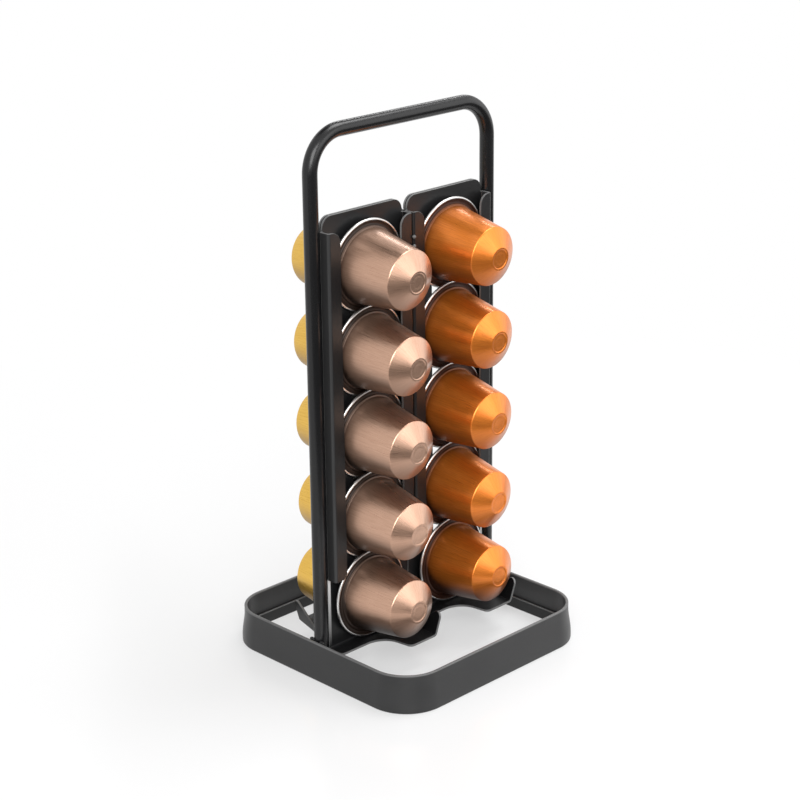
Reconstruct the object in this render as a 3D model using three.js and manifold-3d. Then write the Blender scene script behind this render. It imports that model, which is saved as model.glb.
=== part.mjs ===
// Stand that keeps coffee capsules in upright columns, two in front and two behind, back to back.
// A square ring stands on the table, a bent rod rises from it as the carrying handle, and four
// folded sheet channels hang between the rod's uprights, with a tray under each column.
// Millimetres, +Z up, the front pair of columns faces -Y, origin on the table at the ring's middle.

import * as THREE from 'three';
import { mergeVertices } from 'three/addons/utils/BufferGeometryUtils.js';
import Module from 'manifold-3d';

const wasm = await Module();
wasm.setup();

// Fits
const gap = 0.3; // clearance between pieces that touch
const overrun = 2; // how far a cutting shape runs past the surface that it cuts

// Capsule
const rimDiameter = 37;
const rimThickness = 1.3; // height of the curled rim along the capsule's axis
const flangeRecess = 0.35; // the flange lies this far below the rim's front
const flangeStep = 0.3; // width of the slope from the rim's front down to the flange
const capsuleWall = 0.4;
const bodyDiameter = 30; // where the cone leaves the flange
const shoulderDiameter = 23.6;
const shoulderHeight = 23.7; // from the foil to the shoulder
const capsuleLength = 28; // from the foil to the end of the nose
const noseDiameter = 9.2;
const noseLip = 0.7; // width of the raised ring round the nose's dish
const noseDish = 0.5; // depth of the dish
const capsuleSides = 20;

// Stack of capsules
const capsulesPerColumn = 5;
const lean = THREE.MathUtils.degToRad(3.6); // noses of the upper capsules hang down by this
const bottomLean = 0;
const upperSlide = 0.3; // the upper capsules have slid this far away from the stand's middle plane
const frontLeftBottomSlide = 1.8; // and these two bottom ones this far
const rearLeftBottomSlide = 1.6;

// Channel
const channelSheet = 1;
const sidePlay = 2.6; // room beside the capsule's rim, each side
const lipWidth = 6.2; // seen from the front
const channelBend = 1.5; // outer radius of its folds
const mouthPlay = 1.4; // room under the lips' lower ends for the bottom capsule's rim
const lipsAboveTopCapsule = 16.6; // from the top capsule's axis to the lips' upper ends
const lipTopRadius = 4.5;
const lipBottomRadius = 3;
const tabHeight = 5.4; // the web's top tab stands above the lips by this
const tabInset = 1.2;
const tabRadius = 4.5;
const slotWidth = 14.5;
const slotAboveTray = 13.6;
const slotBelowTop = 9.2;

// Tray under the column
const trayHeight = 10.4; // its top face where it leaves the web
const traySlope = THREE.MathUtils.degToRad(4.8); // it rises towards its front
const trayBend = 1; // inner radius of the fold from the web
const shelfDepth = 7.5; // the shelf runs this far out from the web
const shelfCorner = 1.5;
const tongueReach = 23.9; // the tongue's end, from the web
const tongueLeft = 0; // the tongue's left edge lies at the column's middle
const tongueRight = 14;
const tongueFillet = 8; // hollow corner between the shelf and the tongue
const tongueCorner = 2;
const wingRoot = 17; // where the wing's crease starts, beside the column's middle
const wingStart = 0.9; // and how far in front of the shelf
const wingHeight = 12.6;
const wingOverhang = 2.2; // the wing's tip runs this far past the tongue's end
const wingHeel = 1.6; // where its upper edge starts
const wingTip = 2.2; // radius of its tip
const wingLean = THREE.MathUtils.degToRad(12);

// Handle
const rodDiameter = 5.8;
const handleBend = 15; // centre line radius of its corners
const handRoom = 28.6; // free height from the tabs to the grip
const footClearance = 1; // the rod's ends stop above the table
const rodSides = 12;

// Base ring
const ringSheet = 1.2;
const ringHeight = 15.8;
const ringCorner = 15.3; // radius of its inner corners
const hemHeight = 5.2; // the sheet is folded inwards and up by this along its lower edge
const hemFold = 0.7; // radius at the fold's two corners
const swellTop = 13.5; // above this the skin is plumb, below it swells to cover the hem
const swellFoot = 2.4;
const topEdge = 0.35; // rounding of the upper edge

// Welds
const weldReach = 3.1; // length of a foot weld's leg along the ring
const weldRise = 0.6; // it stands above the ring's upper edge by this
const weldWrap = THREE.MathUtils.degToRad(58); // how far a foot weld climbs round the rod
const tackRadius = 0.75;
const tackSpacing = 3.7;
const tackBelowTop = 11.3; // from the lips' upper ends to the middle of the pair of tacks
const tackSides = 8;

// How round the arcs are
const bendSteps = 3;
const cornerSteps = 6;

// What follows from the sizes
const rimRadius = rimDiameter / 2;
const rodRadius = rodDiameter / 2;
const channelWidth = rimDiameter + 2 * (sidePlay + channelSheet);
const columnOffset = (channelWidth + gap) / 2;
const lipOpening = channelWidth / 2 - lipWidth;
const webBack = gap / 2;
const webFront = webBack + channelSheet;

// The capsules' places: a rim stands off the web at its lower edge, and each capsule's body
// rests on the rim below it, which stands just in front of its own rim
const pitch = (rimRadius + bodyDiameter / 2) * Math.cos(lean) + rimThickness * Math.sin(lean) + gap;
const seat = webFront + gap + rimRadius * Math.sin(lean);
const upperRimFront = seat + rimThickness - (pitch - rimRadius) * Math.sin(lean);
const bottomSeat = upperRimFront + gap - rimRadius * Math.sin(bottomLean);
const trayTop = (reach) => trayHeight + (reach - webFront) * Math.tan(traySlope);
const bottomAxis = trayTop(bottomSeat + rimThickness) + gap + rimRadius;
const axisHeight = (level) => bottomAxis + level * pitch;

// The walls and the lips stop a capsule that slides sideways
const upperOffset = Math.min(upperSlide, lipOpening - bodyDiameter / 2 - gap);
const bottomSlides = { front_left: frontLeftBottomSlide, rear_left: rearLeftBottomSlide };
const bottomOffset = (place) => Math.min(bottomSlides[place] ?? upperOffset, sidePlay - gap);

// The channel follows the rims that it guides
const rimBehindLip = Math.sqrt(rimRadius ** 2 - lipOpening ** 2);
const lipBack = seat + rimThickness + rimBehindLip * Math.sin(lean) + gap;
const lipFront = lipBack + channelSheet;
const lipBottom = bottomAxis + rimBehindLip + mouthPlay;
const lipTop = axisHeight(capsulesPerColumn - 1) + lipsAboveTopCapsule;
const tabTop = lipTop + tabHeight;

// The handle and the ring follow the channels
const uprightOffset = gap / 2 + channelWidth + gap + rodRadius;
const gripHeight = tabTop + handRoom + rodRadius;
const ringInside = uprightOffset + rodRadius + gap;

const right = new THREE.Vector3(1, 0, 0);
const forward = new THREE.Vector3(0, -1, 0);
const up = new THREE.Vector3(0, 0, 1);

const finish = (color, roughness, metalness) => new THREE.MeshStandardMaterial({ color, roughness, metalness });
const blackCoat = finish(0x2c2c2e, 0.42, 0.1);
const silverFoil = finish(0xc9c9c6, 0.35, 1);
const bronze = finish(0xb98f74, 0.32, 1);
const orange = finish(0xe07b26, 0.3, 1);
const gold = finish(0xd9ae45, 0.3, 1);

// Whole numbers from zero up to, but not including, the count
function steps(count) {
  return Array.from({ length: count }, (_, i) => i);
}

// Outline through corners [x, y, radius]; a corner with a radius is an arc that meets both sides
function outline(corners, arcSteps = bendSteps) {
  const points = corners.flatMap(([x, y, radius = 0], i) => {
    const corner = new THREE.Vector2(x, y);
    if (radius === 0) return [corner];
    const neighbours = [corners.at(i - 1), corners[(i + 1) % corners.length]];
    const [back, ahead] = neighbours.map(([u, v]) => new THREE.Vector2(u, v).sub(corner).normalize());
    const half = Math.acos(back.dot(ahead)) / 2;
    const centre = back.clone().add(ahead).setLength(radius / Math.sin(half)).add(corner);
    const tangent = radius / Math.tan(half);
    const first = back.multiplyScalar(tangent).add(corner).sub(centre);
    const last = ahead.multiplyScalar(tangent).add(corner).sub(centre);
    const turn = (Math.PI - 2 * half) * Math.sign(first.cross(last));
    const spoke = (k) => first.clone().rotateAround(new THREE.Vector2(), (turn * k) / arcSteps);
    return steps(arcSteps + 1).map((k) => spoke(k).add(centre));
  });
  return new THREE.Shape(points);
}

// Closed skin through rings of points that turn anticlockwise about the way they run;
// the rings run back to the first one, or both ends get a cap
function loft(rings, looped) {
  const count = rings[0].length;
  const at = (ring, point) => (ring % rings.length) * count + (point % count);
  const index = steps(rings.length - (looped ? 0 : 1)).flatMap((i) => steps(count).flatMap((j) => [
    at(i, j), at(i, j + 1), at(i + 1, j + 1),
    at(i, j), at(i + 1, j + 1), at(i + 1, j),
  ]));
  if (!looped) {
    const end = rings.length - 1;
    steps(count - 2).forEach((j) => {
      index.push(at(0, 0), at(0, j + 2), at(0, j + 1));
      index.push(at(end, 0), at(end, j + 1), at(end, j + 2));
    });
  }
  const geometry = new THREE.BufferGeometry().setFromPoints(rings.flat());
  geometry.setIndex(index);
  geometry.computeVertexNormals();
  return geometry;
}

// Geometry with its shared points merged, ready to be cut and joined
function solid(geometry) {
  const plain = geometry.clone();
  plain.deleteAttribute('normal');
  plain.deleteAttribute('uv');
  const merged = mergeVertices(plain);
  const mesh = new wasm.Mesh({
    numProp: 3,
    vertProperties: merged.getAttribute('position').array,
    triVerts: new Uint32Array(merged.getIndex().array),
  });
  return new wasm.Manifold(mesh);
}

// Geometry of a cut or joined solid
function geometryOf(body) {
  const mesh = body.getMesh();
  const geometry = new THREE.BufferGeometry();
  geometry.setAttribute('position', new THREE.BufferAttribute(mesh.vertProperties, 3));
  geometry.setIndex(new THREE.BufferAttribute(mesh.triVerts, 1));
  geometry.computeVertexNormals();
  return geometry;
}

// Solid bar whose section is the shape, drawn along u and v, and which runs from the start along u x v
function bar(shape, u, v, start, length) {
  const geometry = new THREE.ExtrudeGeometry(shape, { depth: length, bevelEnabled: false });
  const along = new THREE.Vector3().crossVectors(u, v);
  geometry.applyMatrix4(new THREE.Matrix4().makeBasis(u, v, along).setPosition(start));
  return solid(geometry);
}

// Capsule body: rim rolled over the foil's edge, recessed flange, cone, shoulder, nose with a dish.
// Its foil lies in the XZ plane at the origin and its nose points forward.
function capsuleShellGeometry() {
  const bodyRadius = bodyDiameter / 2;
  const shoulderRadius = shoulderDiameter / 2;
  const noseRadius = noseDiameter / 2;
  const curl = rimThickness / 2;
  const flangeFront = rimThickness - flangeRecess;
  const profile = [
    [0, capsuleLength - noseDish],
    [noseRadius - noseLip, capsuleLength - noseDish],
    [noseRadius, capsuleLength],
    [shoulderRadius, shoulderHeight],
    [bodyRadius, flangeFront],
    [rimRadius - curl - flangeStep, flangeFront],
    [rimRadius - curl, rimThickness],
    [rimRadius, curl],
    [rimRadius - curl, 0],
    [rimRadius - rimThickness, flangeFront - capsuleWall],
    [bodyRadius - capsuleWall, flangeFront - capsuleWall],
    [shoulderRadius - capsuleWall, shoulderHeight - capsuleWall / 2],
    [noseRadius - noseLip, capsuleLength - noseDish - capsuleWall],
    [0, capsuleLength - noseDish - capsuleWall],
  ];
  const points = profile.reverse().map(([radius, height]) => new THREE.Vector2(radius, height));
  return new THREE.LatheGeometry(points, capsuleSides).rotateX(Math.PI);
}

// Foil lid, sealed to the back of the flange inside the rolled rim
function capsuleLidGeometry() {
  const thickness = rimThickness - flangeRecess - capsuleWall - gap;
  const radius = rimRadius - rimThickness - gap;
  return new THREE.CylinderGeometry(radius, radius, thickness, capsuleSides).translate(0, -thickness / 2, 0);
}

// Web, bend and tray of a channel as one folded strip, seen from the side
function stripSection() {
  const end = webFront + tongueReach;
  const thick = channelSheet / Math.cos(traySlope);
  const under = trayTop(webBack) - thick;
  return outline([
    [webFront, tabTop],
    [webBack, tabTop],
    [webBack, under, trayBend + channelSheet],
    [end, trayTop(end) - thick],
    [end, trayTop(end)],
    [webFront, trayHeight, trayBend],
  ], cornerSteps);
}

// The strip from the front: full width below the lips, narrower between the folds, tab on top
function stripFront() {
  const wide = channelWidth / 2;
  const folds = wide - channelBend;
  const tab = wide - tabInset;
  return outline([
    [-wide, 0], [wide, 0], [wide, lipBottom], [folds, lipBottom],
    [folds, lipTop], [tab, lipTop], [tab, tabTop, tabRadius],
    [-tab, tabTop, tabRadius], [-tab, lipTop], [-folds, lipTop],
    [-folds, lipBottom], [-wide, lipBottom],
  ]);
}

// The strip from above: shelf along the web, tongue towards the front, crease of the wing
function stripPlan() {
  const wide = channelWidth / 2;
  const shelf = webFront + shelfDepth;
  return outline([
    [-wide, 0],
    [wide, 0],
    [wide, shelf, shelfCorner],
    [wingRoot, shelf + wingStart],
    [tongueRight, webFront + tongueReach],
    [tongueLeft, webFront + tongueReach, tongueCorner],
    [tongueLeft, shelf, tongueFillet],
    [-wide, shelf, shelfCorner],
  ]);
}

// Triangular wing folded up along its crease at the tongue's right, with a round tip
function wing() {
  const shelf = webFront + shelfDepth;
  const onTray = (x, reach) => new THREE.Vector3(x, -reach, trayTop(reach) - channelSheet / 2);
  const heel = onTray(wingRoot, shelf + wingStart);
  const toe = onTray(tongueRight, webFront + tongueReach);
  const crease = new THREE.Vector3().subVectors(toe, heel);
  const length = crease.length();
  const ahead = crease.normalize();
  const outward = new THREE.Vector3().crossVectors(up, ahead).normalize();
  const plumb = new THREE.Vector3().crossVectors(ahead, outward).normalize();
  const rise = plumb.multiplyScalar(Math.cos(wingLean)).addScaledVector(outward, Math.sin(wingLean));
  const across = new THREE.Vector3().crossVectors(ahead, rise);
  const blade = outline([
    [0, 0],
    [length, 0],
    [length + wingOverhang, wingHeight, wingTip],
    [wingHeel, channelSheet],
  ]);
  const start = heel.clone().addScaledVector(across, -channelSheet / 2);
  const fold = new THREE.CylinderGeometry(channelSheet / 2, channelSheet / 2, length, rodSides);
  const turn = new THREE.Quaternion().setFromUnitVectors(new THREE.Vector3(0, 1, 0), ahead);
  const middle = heel.clone().addScaledVector(ahead, length / 2);
  fold.applyQuaternion(turn).translate(middle.x, middle.y, middle.z);
  return bar(blade, ahead, rise, start, channelSheet).add(solid(fold));
}

// Web, side walls and lips as a folded channel, seen from above
function channelSection() {
  const wide = channelWidth / 2;
  const inner = wide - channelSheet;
  const innerBend = channelBend - channelSheet;
  return outline([
    [-wide, webBack, channelBend], [wide, webBack, channelBend],
    [wide, lipFront, channelBend], [lipOpening, lipFront],
    [lipOpening, lipBack], [inner, lipBack, innerBend],
    [inner, webFront, innerBend], [-inner, webFront, innerBend],
    [-inner, lipBack, innerBend], [-lipOpening, lipBack],
    [-lipOpening, lipFront], [-wide, lipFront, channelBend],
  ]);
}

// Waste outside the rounded inner corner of a lip; side is 1 or -1, way is 1 at the top, -1 below
function lipCorner(side, way, radius) {
  const edge = way > 0 ? lipTop : lipBottom;
  const curve = steps(cornerSteps + 1).map((k) => {
    const angle = (Math.PI / 2) * (k / cornerSteps);
    const x = lipOpening + radius * (1 - Math.sin(angle));
    return new THREE.Vector2(side * x, edge - way * radius * (1 - Math.cos(angle)));
  });
  const waste = [
    ...curve,
    new THREE.Vector2(side * (lipOpening - overrun), edge - way * radius),
    new THREE.Vector2(side * (lipOpening - overrun), edge + way * overrun),
    new THREE.Vector2(side * (lipOpening + radius), edge + way * overrun),
  ];
  const start = new THREE.Vector3(0, -lipBack + gap, 0);
  return bar(new THREE.Shape(waste), right, up, start, channelSheet + overrun);
}

// Long opening in the web behind the capsules
function webSlot() {
  const half = slotWidth / 2;
  const bottom = trayHeight + slotAboveTray;
  const top = lipTop - slotBelowTop;
  const corners = [[-half, bottom, half], [half, bottom, half], [half, top, half], [-half, top, half]];
  const start = new THREE.Vector3(0, overrun, 0);
  return bar(outline(corners, cornerSteps), right, up, start, overrun + webFront + gap);
}

// One channel with its tray, its column's middle at x = 0, its mouth towards the front
function channelGeometry() {
  const edge = new THREE.Vector3(channelWidth / 2, 0, 0);
  const depth = webFront + tongueReach + overrun;
  const strip = bar(stripSection(), forward, up, edge, channelWidth)
    .intersect(bar(stripFront(), right, up, new THREE.Vector3(), depth))
    .intersect(bar(stripPlan(), right, forward, new THREE.Vector3(0, 0, tabTop + overrun), tabTop + overrun));
  const foot = new THREE.Vector3(0, 0, lipTop);
  const walls = bar(channelSection(), right, forward, foot, lipTop - lipBottom);
  const corners = [1, -1].flatMap((side) => [
    lipCorner(side, 1, lipTopRadius),
    lipCorner(side, -1, lipBottomRadius),
  ]);
  const shaped = corners.reduce((body, corner) => body.subtract(corner), walls);
  return geometryOf(strip.add(shaped).subtract(webSlot()).add(wing()));
}

// Bent rod: up from the left foot, across as the grip and down to the right foot
function handleGeometry() {
  const ring = (x, z, angle) => steps(rodSides).map((i) => {
    const turn = (2 * Math.PI * i) / rodSides;
    const out = rodRadius * Math.cos(turn);
    return new THREE.Vector3(x + out * Math.cos(angle), rodRadius * Math.sin(turn), z - out * Math.sin(angle));
  });
  const bend = (side) => steps(cornerSteps + 1).map((k) => {
    const angle = (Math.PI / 2) * (k / cornerSteps + (side > 0 ? 1 : 0));
    const x = side * (uprightOffset - handleBend) - handleBend * Math.cos(angle);
    return ring(x, gripHeight - handleBend + handleBend * Math.sin(angle), angle);
  });
  const rings = [
    ring(-uprightOffset, footClearance, 0),
    ...bend(-1),
    ...bend(1),
    ring(uprightOffset, footClearance, Math.PI),
  ];
  return loft(rings, false);
}

// How far the ring's skin has swollen outwards at a height, from plumb down to the hem's cover
function swell(height) {
  const share = THREE.MathUtils.clamp((swellTop - height) / (swellTop - swellFoot), 0, 1);
  return (ringSheet * (1 - Math.cos(Math.PI * share))) / 2;
}

// Square ring of folded sheet: its section is drawn outwards from the inner face and swept round
function ringGeometry() {
  const middle = (swellTop + swellFoot) / 2;
  const quarter = (swellTop - swellFoot) / 4;
  const foldCut = hemFold * (1 - Math.SQRT1_2);
  const edgeCut = topEdge * (1 - Math.SQRT1_2);
  const swollen = [swellFoot, middle - quarter, middle, middle + quarter, swellTop];
  const section = [
    [2 * ringSheet - hemFold, 0],
    [2 * ringSheet - foldCut, foldCut],
    [2 * ringSheet, hemFold],
    ...swollen.map((height) => [ringSheet + swell(height), height]),
    [ringSheet, ringHeight - topEdge],
    [ringSheet - edgeCut, ringHeight - edgeCut],
    [ringSheet - topEdge, ringHeight],
    [topEdge, ringHeight],
    [edgeCut, ringHeight - edgeCut],
    [0, ringHeight - topEdge],
    [0, swellTop],
    [swell(middle + quarter), middle + quarter],
    [swell(hemHeight), hemHeight],
    [0, hemHeight],
    [0, hemFold],
    [foldCut, foldCut],
    [hemFold, 0],
  ];
  const square = ([out, height]) => {
    const half = ringInside + out;
    const radius = ringCorner + out;
    const corners = [[-half, -half], [half, -half], [half, half], [-half, half]];
    const rounded = outline(corners.map(([x, y]) => [x, y, radius]), cornerSteps);
    return rounded.getPoints().slice(0, 4 * (cornerSteps + 1)).map((p) => new THREE.Vector3(p.x, p.y, height));
  };
  return loft(section.map(square), true);
}

// Weld in the hollow between an upright and the ring, behind or before the rod
function footWeldGeometry(sideX, sideY) {
  const around = rodRadius + gap;
  const wall = ringInside - gap;
  const cusp = Math.acos((wall - uprightOffset) / around);
  const climb = steps(bendSteps + 1).map((k) => {
    const angle = weldWrap + ((cusp - weldWrap) * k) / bendSteps;
    return [uprightOffset + around * Math.cos(angle), around * Math.sin(angle)];
  });
  const bulge = [(climb[0][0] + wall) / 2, climb[0][1] + weldReach / 3];
  const corners = [...climb, [wall, climb[0][1] + weldReach / 2], bulge];
  const points = corners.map(([x, y]) => new THREE.Vector2(sideX * x, sideY * y));
  const shape = new THREE.Shape(points);
  const height = ringHeight + weldRise - hemHeight;
  const geometry = new THREE.ExtrudeGeometry(shape, { depth: height, bevelEnabled: false });
  return geometry.translate(0, 0, hemHeight);
}

// Pair of weld tacks in the valley between the two middle lips
function tackGeometry() {
  const half = tackSpacing / 2;
  const profile = [
    [0, half + tackRadius],
    [tackRadius * Math.SQRT1_2, half + tackRadius * Math.SQRT1_2],
    [tackRadius, half],
    [tackRadius / 2, 0],
    [tackRadius, -half],
    [tackRadius * Math.SQRT1_2, -half - tackRadius * Math.SQRT1_2],
    [0, -half - tackRadius],
  ];
  const points = profile.reverse().map(([radius, height]) => new THREE.Vector2(radius, height));
  return new THREE.LatheGeometry(points, tackSides).rotateX(Math.PI / 2);
}

function piece(name, geometry, material) {
  const mesh = new THREE.Mesh(geometry, material);
  mesh.name = name;
  return mesh;
}

// One column of capsules, numbered from the bottom; outward is the sign of X away from the middle
function column(place, material, outward) {
  const group = new THREE.Group();
  steps(capsulesPerColumn).forEach((level) => {
    const capsule = new THREE.Group();
    capsule.add(piece(`capsule_${place}_${level + 1}_body`, capsuleShellGeometry(), material));
    capsule.add(piece(`capsule_${place}_${level + 1}_lid`, capsuleLidGeometry(), silverFoil));
    const slide = level === 0 ? bottomOffset(place) : upperOffset;
    capsule.position.set(outward * slide, level === 0 ? -bottomSeat : -seat, axisHeight(level));
    capsule.rotation.x = level === 0 ? bottomLean : lean;
    group.add(capsule);
  });
  return group;
}

// A pair of channels side by side with the tacks that join them, facing forward.
// Places and finishes run from -X to +X; a column without a finish is empty.
function pair(side, places, finishes) {
  const group = new THREE.Group();
  places.forEach((place, i) => {
    const outward = i === 0 ? -1 : 1;
    const x = outward * columnOffset;
    const channel = piece(`channel_${place}`, channelGeometry(), blackCoat);
    channel.position.x = x;
    group.add(channel);
    if (!finishes[i]) return;
    const capsules = column(place, finishes[i], outward);
    capsules.position.x = x;
    group.add(capsules);
  });
  const tacks = piece(`weld_tacks_${side}`, tackGeometry(), blackCoat);
  const valley = lipFront - channelBend + Math.sqrt((channelBend + gap + tackRadius) ** 2
    - (gap / 2 + channelBend) ** 2);
  tacks.position.set(0, -valley, lipTop - tackBelowTop);
  group.add(tacks);
  return group;
}

const stand = new THREE.Group();
stand.add(piece('base_ring', ringGeometry(), blackCoat));
stand.add(piece('handle_rod', handleGeometry(), blackCoat));
[['left', -1], ['right', 1]].forEach(([side, x]) => {
  [['front', -1], ['rear', 1]].forEach(([end, y]) => {
    stand.add(piece(`weld_foot_${side}_${end}`, footWeldGeometry(x, y), blackCoat));
  });
});
stand.add(pair('front', ['front_left', 'front_right'], [bronze, orange]));
const rear = pair('rear', ['rear_right', 'rear_left'], [null, gold]);
rear.rotation.z = Math.PI;
stand.add(rear);

export default stand;
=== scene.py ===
"""Dresses the capsule stand: a coated ring, rod and folded channels that hold three columns of capsules.

Sizes are in millimetres and turned into metres where a mesh is made. Local shapes are drawn with x to the
right, reach towards the front of their own side and height upwards; the rear side is turned half a turn.
"""

import logging
import math
from collections.abc import Callable, Iterable, Sequence
from dataclasses import dataclass, field
from enum import Enum

import bpy
import numpy as np
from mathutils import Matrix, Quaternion, Vector
from mathutils.geometry import delaunay_2d_cdt


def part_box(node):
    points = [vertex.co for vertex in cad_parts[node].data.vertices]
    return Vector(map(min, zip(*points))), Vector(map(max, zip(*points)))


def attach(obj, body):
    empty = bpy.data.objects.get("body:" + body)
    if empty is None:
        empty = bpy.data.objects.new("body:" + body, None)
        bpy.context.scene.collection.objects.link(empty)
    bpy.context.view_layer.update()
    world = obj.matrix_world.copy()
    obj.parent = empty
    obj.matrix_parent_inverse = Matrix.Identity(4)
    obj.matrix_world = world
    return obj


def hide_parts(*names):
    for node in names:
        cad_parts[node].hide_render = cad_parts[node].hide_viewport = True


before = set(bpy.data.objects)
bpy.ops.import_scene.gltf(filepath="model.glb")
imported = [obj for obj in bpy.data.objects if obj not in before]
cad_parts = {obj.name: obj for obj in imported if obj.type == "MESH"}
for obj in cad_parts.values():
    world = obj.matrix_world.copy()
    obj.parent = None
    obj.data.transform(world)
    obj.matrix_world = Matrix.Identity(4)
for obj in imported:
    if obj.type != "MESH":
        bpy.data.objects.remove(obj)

MM = 0.001
IMAGE_SIDE = 800
RACK = "rack"
FOIL_SLOT = "silver_foil"
SHARP_ANGLE = math.radians(38.0)
SAME_POINT = 1e-6
WHITE = (1.0, 1.0, 1.0, 1.0)

Point = tuple[float, float]
Triple = tuple[float, float, float]

log = logging.getLogger("capsule_stand")
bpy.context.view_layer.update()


class Side(Enum):
    """The two sides of the stand; the value turns local x and reach into world X and Y."""

    FRONT = (1, -1)
    REAR = (-1, 1)


class Place(Enum):
    """The four columns: name in the CAD and the side that it faces."""

    FRONT_LEFT = ("front_left", Side.FRONT)
    FRONT_RIGHT = ("front_right", Side.FRONT)
    REAR_LEFT = ("rear_left", Side.REAR)
    REAR_RIGHT = ("rear_right", Side.REAR)

    @property
    def label(self) -> str:
        """Name of the column in the CAD."""
        return self.value[0]

    @property
    def side(self) -> Side:
        """Side that the column faces."""
        return self.value[1]


class Graph:
    """A node tree that is being built, for a shader or for geometry."""

    def __init__(self, tree: bpy.types.NodeTree) -> None:
        """Keep the node tree to fill and empty it."""
        self.tree = tree
        tree.nodes.clear()

    def add(self, kind: str, settings: dict | None = None, sockets: dict | None = None) -> bpy.types.Node:
        """Make a node.

        Args:
            kind: Type name of the node.
            settings: Its own settings; stops are a colour ramp's places and colours.
            sockets: Values or links of its inputs, by name or number.

        Returns:
            The new node.
        """
        node = self.tree.nodes.new(kind)
        for name, value in (settings or {}).items():
            if name == "stops":
                self._set_stops(node.color_ramp, value)
            else:
                setattr(node, name, value)
        for key, value in (sockets or {}).items():
            self.feed(node.inputs[key], value)
        return node

    def shape(self, kind: str, settings: dict | None = None, **sockets: object) -> bpy.types.NodeSocket:
        """First output of a new geometry node, whose inputs are named with underscores for blanks."""
        named = {name.replace("_", " "): value for name, value in sockets.items()}
        return self.add(f"GeometryNode{kind}", settings, named).outputs[0]

    def feed(self, socket: bpy.types.NodeSocket, value: object) -> None:
        """Set or link an input.

        Args:
            socket: The input.
            value: A plain value, an output socket or a Number.
        """
        source = value.socket if isinstance(value, Number) else value
        if isinstance(source, bpy.types.NodeSocket):
            self.tree.links.new(source, socket)
        else:
            socket.default_value = source

    def number(self, socket: bpy.types.NodeSocket) -> "Number":
        """Wrap an output for sums."""
        return Number(self, socket)

    def seen(self) -> "Number":
        """One for rays from the camera, off gloss and through glass, and zero for all others."""
        path = self.add("ShaderNodeLightPath").outputs
        return self.number(path["Is Camera Ray"]) + path["Is Glossy Ray"] + path["Is Transmission Ray"]

    def blend(self, share: object, first: bpy.types.NodeSocket, second: bpy.types.NodeSocket) -> bpy.types.NodeSocket:
        """Blend of two shaders by the share of the second."""
        return self.add("ShaderNodeMixShader", None, {0: share, 1: first, 2: second}).outputs[0]

    def glow(self, strength: float) -> bpy.types.NodeSocket:
        """White emission of a strength."""
        return self.add("ShaderNodeEmission", None, {"Strength": strength}).outputs[0]

    @staticmethod
    def _set_stops(ramp: bpy.types.ColorRamp, stops: Sequence[Point]) -> None:
        """Give a ramp grey stops.

        Args:
            ramp: The ramp.
            stops: Places and grey levels, from the first to the last.
        """
        while len(ramp.elements) < len(stops):
            ramp.elements.new(1.0)
        for element, (place, level) in zip(ramp.elements, stops):
            element.position = place
            element.color = (level, level, level, 1.0)


@dataclass(frozen=True)
class Number:
    """An output socket that takes part in sums."""

    graph: Graph
    socket: bpy.types.NodeSocket

    def _math(self, operation: str, first: object, second: object) -> "Number":
        """Add one Math node and wrap its output."""
        node = self.graph.add("ShaderNodeMath", {"operation": operation}, {0: first, 1: second})
        return Number(self.graph, node.outputs[0])

    def __add__(self, other: object) -> "Number":
        """Sum."""
        return self._math("ADD", self, other)

    def __radd__(self, other: object) -> "Number":
        """Sum with the number on the right."""
        return self._math("ADD", other, self)

    def __sub__(self, other: object) -> "Number":
        """Difference."""
        return self._math("SUBTRACT", self, other)

    def __rsub__(self, other: object) -> "Number":
        """Difference with the number on the right."""
        return self._math("SUBTRACT", other, self)

    def __mul__(self, other: object) -> "Number":
        """Product."""
        return self._math("MULTIPLY", self, other)

    def __rmul__(self, other: object) -> "Number":
        """Product with the number on the right."""
        return self._math("MULTIPLY", other, self)


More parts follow.
